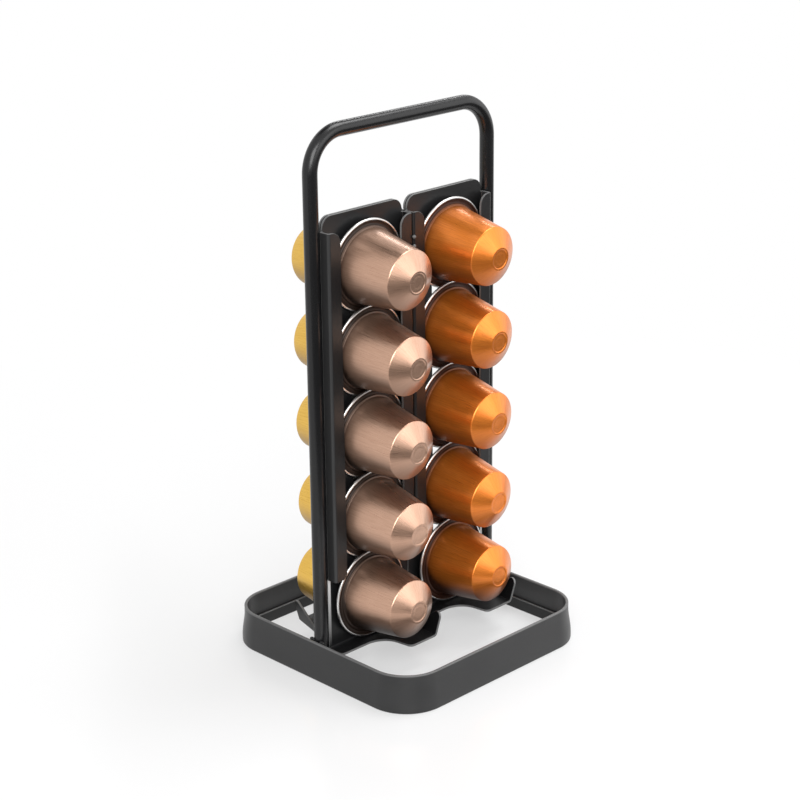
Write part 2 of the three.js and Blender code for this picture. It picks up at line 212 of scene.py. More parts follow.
class MaterialGraph(Graph):
    """Shader nodes of one material, with its surface shader."""

    def __init__(self, name: str) -> None:
        """Make the material.

        Args:
            name: Its name.
        """
        self.material = bpy.data.materials.new(name)
        self.material.use_nodes = True
        super().__init__(self.material.node_tree)
        self.surface = self.add("ShaderNodeBsdfPrincipled")
        self.output = self.add("ShaderNodeOutputMaterial", None, {"Surface": self.surface.outputs[0]})

    def object_place(self) -> bpy.types.NodeSocket:
        """Object coordinates."""
        return self.add("ShaderNodeTexCoord").outputs["Object"]

    def attribute(self, name: str) -> bpy.types.Node:
        """Node that reads a mesh attribute."""
        return self.add("ShaderNodeAttribute", {"attribute_name": name})

    def noise(self, place: bpy.types.NodeSocket, scale: float, detail: float, roughness: float = 0.5) -> Number:
        """Noise around one half, with so many cells to the coordinate unit, octaves and weight of the finer."""
        sockets = {"Vector": place, "Scale": scale, "Detail": detail, "Roughness": roughness}
        return self.number(self.add("ShaderNodeTexNoise", None, sockets).outputs["Fac"])

    def mix(self, share: object, first: object, second: object) -> bpy.types.NodeSocket:
        """Mix two colours.

        Args:
            share: Share of the second.
            first: A colour or a colour socket.
            second: A colour or a colour socket.

        Returns:
            The mixed colour.
        """
        node = self.add("ShaderNodeMix", {"data_type": "RGBA"}, {0: share})
        for socket, colour in ((node.inputs[6], first), (node.inputs[7], second)):
            self.feed(socket, colour if isinstance(colour, bpy.types.NodeSocket) else (*colour, 1.0))
        return node.outputs[2]

    def ramp(self, level: Number, stops: Sequence[Point]) -> Number:
        """Grey ramp of a level, with stops of a place and a grey level."""
        return self.number(self.add("ShaderNodeValToRGB", {"stops": stops}, {"Fac": level}).outputs["Color"])

    def bump(self, height: Number, strength: float, depth: float) -> bpy.types.NodeSocket:
        """Normal of a bump whose height goes from zero to one over a depth in millimetres."""
        sockets = {"Height": height, "Strength": strength, "Distance": depth * MM}
        return self.add("ShaderNodeBump", None, sockets).outputs["Normal"]

    def set(self, **values: object) -> None:
        """Set or link inputs of the surface shader, with underscores for blanks in their names."""
        for name, value in values.items():
            self.feed(self.surface.inputs[name.replace("_", " ")], value)


def scaled(colour: Triple, share: float) -> list[float]:
    """Make a colour darker or lighter by a share."""
    return [channel * share for channel in colour]


@dataclass(frozen=True)
class PowderCoat:
    """Satin black coat with a fine orange peel, painted lighter where the attribute edge asks for a painted highlight
    along lit edges, rims and weld tacks.
    """

    name: str = "black_coat"
    slot: str = "black_coat"
    colour: Triple = (0.0048, 0.0048, 0.0052)
    cloud_lift: float = 1.5
    highlight_colour: Triple = (0.8, 0.8, 0.8)
    highlight_least: float = 0.7
    highlight_spread: float = 0.5
    roughness: float = 0.32
    grain_roughness: float = 0.12
    cloud_roughness: float = 0.08
    gloss: float = 0.38
    bump: float = 0.55
    bump_depth: float = 0.035
    peel_share: float = 0.75
    peel_scale: float = 900.0
    grain_scale: float = 3600.0
    cloud_scale: float = 45.0

    def material(self) -> bpy.types.Material:
        """Build the material.

        Returns:
            The material.
        """
        graph = MaterialGraph(self.name)
        place = graph.object_place()
        cloud = graph.noise(place, self.cloud_scale, 3.0)
        peel = graph.noise(place, self.peel_scale, 2.0)
        grain = graph.noise(place, self.grain_scale, 2.0, 0.6)
        edge = graph.number(graph.attribute("edge").outputs["Fac"])
        # Painted highlight: the edge attribute mixes a light grey into the black where edges and tacks catch the
        # light.
        painted_highlight = edge * (self.highlight_least + self.highlight_spread * cloud)
        body = graph.mix(cloud, self.colour, scaled(self.colour, self.cloud_lift))
        height = peel * self.peel_share + grain * (1 - self.peel_share)
        graph.set(
            Base_Color=graph.mix(painted_highlight, body, self.highlight_colour),
            Roughness=self.roughness + self.grain_roughness * grain + self.cloud_roughness * (cloud - 0.5),
            Normal=graph.bump(height, self.bump, self.bump_depth),
            Specular_IOR_Level=self.gloss,
        )
        return graph.material


@dataclass(frozen=True)
class BrushedMetal:
    """Anodised aluminium with fine brush lines along the capsule's length, with painted shade where the attribute
    deep says: in the groove beside the rim and on the underside.
    """

    name: str
    slot: str
    colour: Triple
    shade: Triple
    roughness: float = 0.27
    metallic: float = 0.92
    painted_shade_share: float = 0.06
    painted_shade_metallic: float = 0.5
    painted_shade_roughness: float = 0.15
    coarse_scale: float = 0.8
    fine_scale: float = 2.3
    cloud_scale: float = 160.0
    streak_stops: tuple[Point, Point] = ((0.34, 0.0), (0.64, 1.0))
    least_tint: float = 0.1
    streak_tint: float = 0.8
    cloud_tint: float = 0.15
    streak_roughness: float = 0.12
    cloud_roughness: float = 0.05
    bump: float = 0.4
    bump_depth: float = 0.02
    coat: float = 0.36
    coat_roughness: float = 0.2

    def material(self) -> bpy.types.Material:
        """Build the material.

        Returns:
            The material.
        """
        graph = MaterialGraph(self.name)
        lines = graph.attribute("brush").outputs["Vector"]
        coarse = graph.noise(lines, self.coarse_scale, 2.0, 0.5)
        fine = graph.noise(lines, self.fine_scale, 3.0, 0.6)
        cloud = graph.noise(graph.object_place(), self.cloud_scale, 2.0)
        # Painted shade: deep darkens the colour, lowers metal and coat, and roughens the finish in the groove and on
        # the underside.
        deep = graph.number(graph.attribute("deep").outputs["Fac"])
        streak = graph.ramp(coarse * 0.5 + fine * 0.5, self.streak_stops)
        tint = self.cloud_tint * cloud + self.streak_tint * streak + self.least_tint
        lit = graph.mix(tint, self.shade, self.colour)
        streaky = self.roughness + self.streak_roughness * streak - self.cloud_roughness * cloud
        graph.set(
            Metallic=self.metallic * (1.0 - self.painted_shade_metallic * deep),
            Base_Color=graph.mix(deep, lit, scaled(self.shade, self.painted_shade_share)),
            Roughness=streaky + self.painted_shade_roughness * deep,
            Normal=graph.bump(streak * 0.5 + fine * 0.5, self.bump, self.bump_depth),
            Coat_Weight=self.coat * (1.0 - deep),
            Coat_Roughness=self.coat_roughness,
        )
        return graph.material


@dataclass(frozen=True)
class BareMetal:
    """Bare aluminium of the rolled rim and the foil, with faint creases."""

    name: str
    colour: Triple = (0.74, 0.725, 0.71)
    dull: float = 0.82
    roughness: float = 0.24
    crease_roughness: float = 0.14
    crease_scale: float = 420.0
    crease_depth: float = 0.03
    cloud_scale: float = 90.0
    bump: float = 0.4

    def material(self) -> bpy.types.Material:
        """Build the material.

        Returns:
            The material.
        """
        graph = MaterialGraph(self.name)
        place = graph.object_place()
        crease = graph.noise(place, self.crease_scale, 4.0, 0.62)
        cloud = graph.noise(place, self.cloud_scale, 2.0)
        graph.set(
            Metallic=1.0,
            Base_Color=graph.mix(cloud, scaled(self.colour, self.dull), self.colour),
            Roughness=self.roughness + self.crease_roughness * crease,
            Normal=graph.bump(crease, self.bump, self.crease_depth),
        )
        return graph.material


def rounded(corners: Sequence[Sequence[float]], step: float = 9.0, closed: bool = True) -> list[Point]:
    """Line through corners whose rounded ones are arcs that meet both sides.

    Args:
        corners: Two coordinates and, where the corner is rounded, its radius.
        step: Largest turn in degrees between two points of an arc.
        closed: Whether the last corner joins the first.

    Returns:
        The points in order.
    """
    points: list[Point] = []
    count = len(corners)
    for i, corner in enumerate(corners):
        here = Vector(corner[:2])
        radius = corner[2] if len(corner) > 2 else 0.0
        if radius == 0.0 or (not closed and i in (0, count - 1)):
            points.append(tuple(here))
            continue
        back = (Vector(corners[i - 1][:2]) - here).normalized()
        ahead = (Vector(corners[(i + 1) % count][:2]) - here).normalized()
        half = back.angle(ahead) / 2
        tangent = radius / math.tan(half)
        centre = here + (back + ahead).normalized() * (radius / math.sin(half))
        first = here + back * tangent - centre
        turn = math.copysign(math.pi - 2 * half, back.y * ahead.x - back.x * ahead.y)
        steps = max(2, math.ceil(abs(math.degrees(turn)) / step))
        for k in range(steps + 1):
            cos, sin = math.cos(turn * k / steps), math.sin(turn * k / steps)
            points.append((centre.x + first.x * cos - first.y * sin, centre.y + first.x * sin + first.y * cos))
    return points


def show(name: str, mesh: bpy.types.Mesh) -> bpy.types.Object:
    """Put a mesh in the scene.

    Args:
        name: Name of the object.
        mesh: Its mesh.

    Returns:
        The object.
    """
    piece = bpy.data.objects.new(name, mesh)
    bpy.context.scene.collection.objects.link(piece)
    return piece


def make_piece(
    name: str,
    points: np.ndarray,
    faces: Sequence[Sequence[int]],
    materials: Sequence[bpy.types.Material],
    normals: np.ndarray | None = None,
) -> bpy.types.Object:
    """Make a smooth mesh object from points in millimetres.

    Args:
        name: Name of the object.
        points: Corner points.
        faces: Corners of each face, anticlockwise from outside.
        materials: Its materials.
        normals: A normal for each corner of each face, or none to find them.

    Returns:
        The object, in the scene.
    """
    mesh = bpy.data.meshes.new(name)
    mesh.from_pydata((np.asarray(points) * MM).tolist(), [], [list(face) for face in faces])
    mesh.shade_smooth()
    if normals is None:
        mesh.set_sharp_from_angle(angle=SHARP_ANGLE)
    else:
        mesh.normals_split_custom_set(normals.tolist())
    for material in materials:
        mesh.materials.append(material)
    return show(name, mesh)


def write_attribute(
    piece: bpy.types.Object, name: str, values: Sequence[float], kind: str = "FLOAT", domain: str = "POINT"
) -> None:
    """Give a piece's mesh an attribute.

    Args:
        piece: The piece.
        name: Name of the attribute.
        values: Its values in a row.
        kind: Its data type.
        domain: What it lies on.
    """
    layer = piece.data.attributes.new(name, kind, domain)
    layer.data.foreach_set("vector" if kind == "FLOAT_VECTOR" else "value", values)


def face_outwards(piece: bpy.types.Object) -> None:
    """Turn a closed mesh's faces round if its volume comes out negative.

    Args:
        piece: The mesh object.
    """
    mesh = piece.data
    mesh.calc_loop_triangles()
    points = np.array([vertex.co for vertex in mesh.vertices])
    corners = points[np.array([triangle.vertices for triangle in mesh.loop_triangles])]
    volume = np.einsum("ij,ij->i", corners[:, 0], np.cross(corners[:, 1], corners[:, 2])).sum()
    if volume < 0:
        mesh.flip_normals()


def grow(name: str, seed: bpy.types.Object, tree: bpy.types.NodeTree, inputs: dict[str, object]) -> bpy.types.Object:
    """Turn the result of a geometry node tree into a plain mesh piece.

    Args:
        name: Name of the new piece.
        seed: Object that carries the tree for a moment; it is removed.
        tree: The tree.
        inputs: Values of its inputs, by name.

    Returns:
        The new piece.
    """
    modifier = seed.modifiers.new("growth", "NODES")
    modifier.node_group = tree
    identifiers = {item.name: item.identifier for item in tree.interface.items_tree if item.in_out == "INPUT"}
    for label, value in inputs.items():
        modifier[identifiers[label]] = value
    ready = seed.evaluated_get(bpy.context.evaluated_depsgraph_get())
    mesh = bpy.data.meshes.new_from_object(ready)
    mesh.name = name
    seed.modifiers.remove(modifier)
    bpy.data.objects.remove(seed)
    return show(name, mesh)


def growth_tree(name: str, inputs: dict[str, str]) -> tuple[Graph, bpy.types.NodeOutputs]:
    """Start a geometry node tree.

    Args:
        name: Its name.
        inputs: Socket type of each named input besides the geometry.

    Returns:
        The graph and the sockets that give the inputs.
    """
    tree = bpy.data.node_groups.new(name, "GeometryNodeTree")
    for label, kind in {"Geometry": "Geometry", **inputs}.items():
        tree.interface.new_socket(label, in_out="INPUT", socket_type=f"NodeSocket{kind}")
    tree.interface.new_socket("Geometry", in_out="OUTPUT", socket_type="NodeSocketGeometry")
    graph = Graph(tree)
    return graph, graph.add("NodeGroupInput").outputs


def close_tree(graph: Graph, out: bpy.types.NodeOutputs, shape: bpy.types.NodeSocket) -> bpy.types.NodeTree:
    """End a geometry node tree with plain geometry in the given material.

    Args:
        graph: The tree's graph.
        out: Its input sockets, one of them named Material.
        shape: The geometry.

    Returns:
        The finished tree.
    """
    real = graph.shape("RealizeInstances", Geometry=shape)
    smooth = graph.shape("SetShadeSmooth", Geometry=real)
    coated = graph.shape("SetMaterial", Geometry=smooth, Material=out["Material"])
    graph.add("NodeGroupOutput", None, {0: coated})
    return graph.tree


def empty_seed(points: Sequence[Triple] = ((0.0, 0.0, 0.0),), closed: bool = False) -> bpy.types.Object:
    """Object with a line of points in millimetres that a tree starts from.

    Args:
        points: The line's points.
        closed: Whether the last joins the first.

    Returns:
        The object, in the scene.
    """
    count = len(points)
    edges = [(i, (i + 1) % count) for i in range(count if closed else count - 1)]
    mesh = bpy.data.meshes.new("seed")
    mesh.from_pydata([tuple(value * MM for value in point) for point in points], edges, [])
    return show("seed", mesh)


def settle(piece: bpy.types.Object, body: str, slot: str, *nodes: str) -> None:
    """Let a finished piece ride on its body and stand for its CAD nodes.

    Args:
        piece: The piece.
        body: CAD body that it rides on.
        slot: Material slot in the record; not used.
        nodes: CAD nodes that it replaces.
    """
    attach(piece, body)
    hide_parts(*nodes)
    log.info("%s: %d faces on %s", piece.name, len(piece.data.polygons), body)


@dataclass
class BaseRing:
    """Square ring of folded sheet with a swollen foot and a hem turned in along its lower edge."""

    coat: PowderCoat
    inside: float = 50.75
    corner: float = 15.3
    sheet: float = 1.2
    height: float = 15.8
    hem_height: float = 5.2
    hem_clearance: float = 0.4
    hem_lip: tuple[Triple, ...] = ((0.02, 0.12, 0.0), (0.08, -0.45, 0.0), (0.2, 0.0, 0.06))
    hem_radius: float = 0.12
    hem_band: float = 0.5
    fold: float = 0.7
    fold_start: float = 1.6
    swell_top: float = 13.5
    swell_foot: float = 2.4
    swell_steps: int = 8
    top_edge: float = 0.35
    corner_points: int = 20
    arc_step: float = 22.5
    top_highlight: float = 0.17
    top_reach: float = 1.2
    hem_highlight: float = 0.22
    hem_reach: float = 0.3
    inner_reach: float = 0.75
    skin_lift: float = 0.024

    def _swell(self, height: float) -> float:
        """How far the skin has moved outwards at a height."""
        share = min(1.0, max(0.0, (self.swell_top - height) / (self.swell_top - self.swell_foot)))
        return self.sheet * (1 - math.cos(math.pi * share)) / 2

    def _section(self) -> list[Triple]:
        """Draw the sheet's section, outwards from the inner face.

        Returns:
            Its closed line, with the height drawn downwards as the sweep needs.
        """
        sheet, edge, hem = self.sheet, self.top_edge, self.hem_height
        swell = self.swell_top - self.swell_foot
        slope = [self.swell_foot + swell * k / self.swell_steps for k in range(self.swell_steps + 1)]
        above_hem = [level for level in reversed(slope) if level > hem + self.hem_clearance]
        ledge = self._swell(hem)
        corners = [
            (self.fold * self.fold_start, 0.0), (2 * sheet, 0.0, self.fold),
            *((sheet + self._swell(level), level) for level in slope),
            (sheet, self.height - 2 * edge), (sheet, self.height, edge),
            (0.0, self.height, edge), (0.0, self.height - 2 * edge),
            *((self._swell(level), level) for level in above_hem),
            *((ledge - inwards, hem + rise, radius) for inwards, rise, radius in self.hem_lip),
            (0.0, hem, self.hem_radius), (0.0, hem - self.hem_band), (0.0, 0.0, self.fold),
        ]
        return [(out, -height, 0.0) for out, height in rounded(corners, self.arc_step)]

    def _tree(self) -> bpy.types.NodeTree:
        """Make the tree that sweeps a section round a square with round corners.

        Returns:
            The tree.
        """
        inputs = {"Width": "Float", "Corner": "Float", "Corner points": "Int", "Material": "Material"}
        graph, out = growth_tree("square_sweep", inputs)
        square = graph.shape("CurvePrimitiveQuadrilateral", Width=out["Width"], Height=out["Width"])
        corners = {"Count": out["Corner points"], "Radius": out["Corner"]}
        path = graph.shape("FilletCurve", {"mode": "POLY"}, Curve=square, **corners)
        section = graph.shape("MeshToCurve", Mesh=out["Geometry"])
        skin = graph.shape("CurveToMesh", Curve=path, Profile_Curve=section)
        return close_tree(graph, out, skin)

    def _painted_light(self, place: Vector) -> float:
        """How much painted light lightens the ring at a place: painted highlights along its upper edge and the hem's
        raw edge, a slight lift on the rest of the skin, and painted shade on the inner face below the hem.

        Args:
            place: A point of the ring.

        Returns:
            A level from zero to one.
        """
        core = self.inside - self.corner
        over = [max(abs(place.x) - core, 0.0), max(abs(place.y) - core, 0.0)]
        inner = math.hypot(*over) - self.corner < self.inner_reach
        # Painted highlights: a light line along the upper edge and along the hem's raw edge inside.
        if place.z > self.height - self.top_reach * self.top_edge:
            return self.top_highlight
        if inner and abs(place.z - self.hem_height) < self.hem_reach:
            return self.hem_highlight
        # Painted shade: the inner face below the hem keeps the plain black, the rest of the skin is lifted a little.
        return 0.0 if inner and place.z < self.hem_height else self.skin_lift

    def build(self, material: bpy.types.Material) -> None:
        """Make the ring.

        Args:
            material: The coat.
        """
        inputs = {
            "Width": 2 * self.inside * MM,
            "Corner": self.corner * MM,
            "Corner points": self.corner_points,
            "Material": material,
        }
        ring = grow("square_ring", empty_seed(self._section(), True), self._tree(), inputs)
        face_outwards(ring)
        ring.data.set_sharp_from_angle(angle=SHARP_ANGLE)
        write_attribute(ring, "edge", [self._painted_light(vertex.co / MM) for vertex in ring.data.vertices])
        settle(ring, RACK, self.coat.slot, "base_ring")


@dataclass
class CarryHandle:
    """Bent rod whose two legs stand inside the ring and whose grip runs across the top."""

    coat: PowderCoat
    upright: float = 47.55
    radius: float = 2.897
    bend: float = 15.0
    grip: float = 218.25
    foot: float = 1.0
    sides: int = 40
    bend_points: int = 18

    def _tree(self) -> bpy.types.NodeTree:
        """Make the tree that bends a round rod through two corners.

        Returns:
            The tree.
        """
        inputs = {
            "Upright": "Float", "Foot": "Float", "Grip": "Float", "Bend": "Float", "Rod": "Float",
            "Sides": "Int", "Bend points": "Int", "Material": "Material",
        }
        graph, out = growth_tree("bent_rod", inputs)
        right = graph.number(out["Upright"])
        left = right * -1.0
        places = [(left, out["Foot"]), (left, out["Grip"]), (right, out["Grip"]), (right, out["Foot"])]
        corners = [graph.add("ShaderNodeCombineXYZ", None, {"X": x, "Z": z}).outputs[0] for x, z in places]
        named = {f"Point_{i + 1}": corner for i, corner in enumerate(corners)}
        frame_line = graph.shape("CurvePrimitiveQuadrilateral", {"mode": "POINTS"}, **named)
        line = graph.shape("SetSplineCyclic", Geometry=frame_line, Cyclic=False)
        bends = {"Count": out["Bend points"], "Radius": out["Bend"]}
        path = graph.shape("FilletCurve", {"mode": "POLY"}, Curve=line, **bends)
        circle = graph.shape("CurvePrimitiveCircle", Resolution=out["Sides"], Radius=out["Rod"])
        rod = graph.shape("CurveToMesh", Curve=path, Profile_Curve=circle, Fill_Caps=True)
        return close_tree(graph, out, rod)

    def build(self, material: bpy.types.Material) -> None:
        """Make the rod.

        Args:
            material: The coat.
        """
        inputs = {
            "Upright": self.upright * MM, "Foot": self.foot * MM, "Grip": self.grip * MM,
            "Bend": self.bend * MM, "Rod": self.radius * MM,
            "Sides": self.sides, "Bend points": self.bend_points, "Material": material,
        }
        rod = grow("carry_handle", empty_seed(), self._tree(), inputs)
        face_outwards(rod)
        rod.data.set_sharp_from_angle(angle=SHARP_ANGLE)
        settle(rod, RACK, self.coat.slot, "handle_rod")


@dataclass
class FlatPattern:
    """Mesh of a cut sheet before it is folded: triangles, rim edges and the rim's outer points."""

    points: list[Point]
    triangles: list[tuple[int, int, int]]
    rim: list[tuple[int, int]]
    rim_outer: dict[int, Point]


def offset_line(points: Sequence[Point], distance: float) -> list[Point]:
    """Move a closed anticlockwise line inwards with mitred corners.

    Args:
        points: The line.
        distance: How far it moves inwards; negative moves it outwards.

    Returns:
        The moved line.
    """
    line = np.asarray(points)
    sides = np.roll(line, -1, axis=0) - line
    sides /= np.linalg.norm(sides, axis=1)[:, None]
    inward = np.stack([-sides[:, 1], sides[:, 0]], 1)
    before = np.roll(inward, 1, axis=0)
    mitre = (before + inward) / (1 + np.einsum("ij,ij->i", before, inward))[:, None]
    return [tuple(point) for point in line + mitre * distance]


def inside_line(point: Point, line: np.ndarray) -> bool:
    """Find whether a point lies inside a closed line.

    Args:
        point: The point.
        line: The line's points.

    Returns:
        True if it does.
    """
    x, y = point
    ahead = np.roll(line, -1, axis=0)
    crosses = (line[:, 1] > y) != (ahead[:, 1] > y)
    start, end = line[crosses], ahead[crosses]
    at = start[:, 0] + (y - start[:, 1]) * (end[:, 0] - start[:, 0]) / (end[:, 1] - start[:, 1])
    return bool(np.count_nonzero(at > x) % 2)


def flat_pattern(
    outline: list[Point], hole: list[Point], folds: Iterable[tuple[Point, Point]], edge: float
) -> FlatPattern:
    """Triangulate a sheet so that no triangle crosses a fold line.

    Args:
        outline: Its outline, anticlockwise.
        hole: A hole in it, clockwise.
        folds: Lines along which it bends.
        edge: Width of the rounded edge that is left off all round.

    Returns:
        The pattern, whose rim's outer points lie on the outline and the hole.
    """
    lines = [offset_line(outline, edge), offset_line(hole, edge)]
    points: list[Point] = []
    edges: list[tuple[int, int]] = []
    for line in lines:
        start, count = len(points), len(line)
        points += line
        edges += [(start + i, start + (i + 1) % count) for i in range(count)]
    for first, last in folds:
        edges.append((len(points), len(points) + 1))
        points += [first, last]
    flat, _, faces, *_ = delaunay_2d_cdt([Vector(point) for point in points], edges, [], 0, SAME_POINT)
    outer, inner = (np.asarray(line) for line in lines)

    def kept(face: Sequence[int]) -> bool:
        """Whether a triangle lies on the sheet."""
        middle = sum((flat[i] for i in face), Vector((0.0, 0.0))) / 3
        return inside_line(tuple(middle), outer) and not inside_line(tuple(middle), inner)

    triangles = [tuple(face) for face in faces if kept(face)]
    directed = {(a, b) for i, j, k in triangles for a, b in ((i, j), (j, k), (k, i))}
    rim = [(a, b) for a, b in directed if (b, a) not in directed]
    following = dict(rim)
    rim_outer: dict[int, Point] = {}
    while len(rim_outer) < len(rim):
        start = next(a for a, _ in rim if a not in rim_outer)
        loop = [start]
        while following[loop[-1]] != start:
            loop.append(following[loop[-1]])
        moved = offset_line([tuple(flat[i]) for i in loop], -edge)
        rim_outer.update(zip(loop, moved))
    return FlatPattern([tuple(point) for point in flat], triangles, sorted(rim), rim_outer)


@dataclass
class FoldedChannel:
    """One channel cut from a single sheet: web with a long slot, side walls, lips, tray, tongue and wing.

    The painted light levels say how much lighter the coat is drawn: a painted highlight on the web's outer margin
    between the tray and the lips and along cut edges, a slight lift on the outer walls, and painted shade on the
    walls beside the seam.
    """

    place: Place
    coat: PowderCoat
    width: float = 44.2
    sheet: float = 1.0
    edge: float = 0.16
    web_middle: float = 0.65
    fold_radius: float = 1.0
    lip_fold: float = 0.65
    lip_middle: float = 5.305
    lip_opening: float = 15.9
    lip_bottom: float = 40.34
    lip_top: float = 181.35
    lip_top_radius: float = 4.5
    lip_bottom_radius: float = 3.0
    tab_top: float = 186.75
    tab_inset: float = 1.2
    tab_radius: float = 4.5
    relief: float = 0.35
    slot_width: float = 14.5
    slot_bottom: float = 24.0
    slot_top: float = 172.15
    slot_round_share: float = 0.999
    tray_height: float = 10.4
    tray_slope: float = math.radians(4.8)
    tray_fold_radius: float = 1.5
    shelf_reach: float = 8.65
    shelf_corner: float = 1.5
    tongue_reach: float = 25.05
    tongue_right: float = 14.0
    tongue_fillet: float = 8.0
    tongue_corner: float = 2.0
    wing_root: float = 17.0
    wing_start: float = 0.9
    wing_height: float = 12.6
    wing_overhang: float = 2.2
    wing_heel: float = 1.6
    wing_tip: float = 2.2
    wing_lean: float = math.radians(12.0)
    fold_steps: int = 8
    lit_margin: float = 1.1
    lit_margin_fade: float = 0.15
    lit_margin_reach: float = 0.05
    edge_highlight: float = 0.2
    wall_light: float = 0.03
    face_light: float = 0.004
    middle: float = field(init=False)

    def __post_init__(self) -> None:
        """Work out the folds' places from the sizes."""
        low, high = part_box(f"channel_{self.place.label}")
        self.middle = (low.x + high.x) / 2 / MM
        self.outer_sign = self.place.side.value[0] * math.copysign(1.0, self.middle)
        self.flat_half = self.width / 2 - self.sheet / 2 - self.fold_radius
        self.quarter = self.fold_radius * math.pi / 2
        self.lip_quarter = self.lip_fold * math.pi / 2
        wall_end = self.lip_middle - self.lip_fold
        self.wall = wall_end - self.web_middle - self.fold_radius
        lip_start = self.flat_half + self.quarter + self.wall + self.lip_quarter
        self.lip_edge = lip_start + self.flat_half + self.fold_radius - self.lip_fold - self.lip_opening
        tray_turn = math.pi / 2 + self.tray_slope
        self.tray_tangent = self.tray_fold_radius * math.tan(tray_turn / 2)
        half = self.sheet / 2
        crossing = self.tray_height - half * math.tan(self.tray_slope) - half / math.cos(self.tray_slope)
        self.fold_top = crossing + self.tray_tangent
        self.fold_length = self.tray_fold_radius * tray_turn
        self.heel = Vector((self.wing_root, self._flat_v(self.shelf_reach + self.wing_start)))
        self.toe = Vector((self.tongue_right, self._flat_v(self.tongue_reach)))
        self.crease = (self.toe - self.heel).normalized()
        self.outward = Vector((-self.crease.y, self.crease.x))
        self._set_wing_fold()

    def _flat_v(self, reach: float) -> float:
        """Height in the flat sheet of a point of the tray with this reach."""
        along = (reach - self.web_middle) / math.cos(self.tray_slope) - self.tray_tangent
        return self.fold_top - self.fold_length - along

    def _set_wing_fold(self) -> None:
        """Find the wing's fold angle and directions in space."""
        self.heel_place, self.tray_normal = self._fold_tray(*self.heel)
        toe_place, _ = self._fold_tray(*self.toe)
        side_place, _ = self._fold_tray(*(self.heel + self.outward))
        ahead = self.wing_ahead = (toe_place - self.heel_place).normalized()
        self.wing_side = (side_place - self.heel_place).normalized()
        world_ahead = Vector((ahead.x, -ahead.y, ahead.z))
        level = Vector((0, 0, 1)).cross(world_ahead).normalized()
        plumb = world_ahead.cross(level).normalized()
        rise = plumb * math.cos(self.wing_lean) + level * math.sin(self.wing_lean)
        wing_turn = self.wing_side.angle(Vector((rise.x, -rise.y, rise.z)))
        self.wing_tangent = self.fold_radius * math.tan(wing_turn / 2)
        self.wing_arc = self.fold_radius * wing_turn

    def _wing_flat(self, along: float, height: float) -> Point:
        """Find the place in the flat sheet of a point of the wing.

        Args:
            along: Distance from the heel along the crease.
            height: Distance from the crease up the wing.

        Returns:
            The place.
        """
        across = height if height <= 0 else height + self.wing_arc - 2 * self.wing_tangent
        place = self.heel + self.crease * along + self.outward * across
        return place.x, place.y

    def _outline(self) -> list[Point]:
        """Draw the outline of the flat sheet.

        Returns:
            Its line, anticlockwise.
        """
        wide, bend, tab = self.width / 2, self.flat_half, self.width / 2 - self.tab_inset
        shelf = self._flat_v(self.shelf_reach)
        end = self._flat_v(self.tongue_reach)
        length = (self.toe - self.heel).length
        tip = self._wing_flat(length + self.wing_overhang, self.wing_height)
        low, high = self.lip_bottom, self.lip_top
        half = [
            (wide, low - self.relief), (bend, low - self.relief), (bend, low),
            (self.lip_edge, low, self.lip_bottom_radius), (self.lip_edge, high, self.lip_top_radius),
            (bend, high), (tab, high + self.relief), (tab, self.tab_top, self.tab_radius),
        ]
        mirrored = [(-corner[0], *corner[1:]) for corner in reversed(half)]
        return rounded([
            (-wide, shelf, self.shelf_corner), (0.0, shelf, self.tongue_fillet),
            (0.0, end, self.tongue_corner), tuple(self.toe),
            (*tip, self.wing_tip), self._wing_flat(self.wing_heel, self.sheet),
            self._wing_flat(self.relief, -self.wing_tangent), self._wing_flat(0.0, -self.wing_tangent),
            tuple(self.heel), (wide, shelf, self.shelf_corner),
            *half, *mirrored,
        ])

    def _slot(self) -> list[Point]:
        """Draw the long hole in the web.

        Returns:
            Its line, clockwise.
        """
        half, low, high = self.slot_width / 2, self.slot_bottom, self.slot_top
        corners = [(-half, low), (-half, high), (half, high), (half, low)]
        return rounded([(*corner, half * self.slot_round_share) for corner in corners])

    def _folds(self) -> list[tuple[Point, Point]]:
        """Draw the lines along which the sheet bends, and those where the margin with the painted highlight begins.

        Returns:
            Two ends of each line.
        """
        lines: list[tuple[Point, Point]] = []
        first = self.flat_half
        second = first + self.quarter + self.wall
        for k in range(self.fold_steps + 1):
            share = k / self.fold_steps
            for start, arc in ((first, self.quarter), (second, self.lip_quarter)):
                for sign in (-1, 1):
                    u = sign * (start + arc * share)
                    lines.append(((u, self.lip_bottom), (u, self.lip_top)))
            v = self.fold_top - self.fold_length * share
            lines.append(((-self.width, v), (self.width, v)))
            across = -self.wing_tangent + self.wing_arc * share
            heel = self.heel + self.outward * across
            toe = self.toe + self.outward * across + self.crease * self.wing_overhang
            lines.append((tuple(heel), tuple(toe)))
        for inset in (self.lit_margin, self.lit_margin + self.lit_margin_fade):
            for sign in (-1, 1):
                u = sign * (self.width / 2 - inset)
                lines.append(((u, self.fold_top), (u, self.lip_bottom)))
        return lines

    def _fold_tray(self, u: float, v: float) -> tuple[Vector, Vector]:
        """Fold a point of the tray, or of its bend.

        Args:
            u: Place across the flat sheet.
            v: Height in the flat sheet.

        Returns:
            The point on the sheet's middle and its normal, as x, reach and height.
        """
        run = self.fold_top - v
        angle = min(run, self.fold_length) / self.tray_fold_radius
        extra = max(0.0, run - self.fold_length)
        cos, sin = math.cos(angle), math.sin(angle)
        reach = self.web_middle + self.tray_fold_radius * (1 - cos) + extra * sin
        height = self.fold_top - self.tray_fold_radius * sin - extra * cos
        return Vector((u, reach, height)), Vector((0.0, cos, sin))

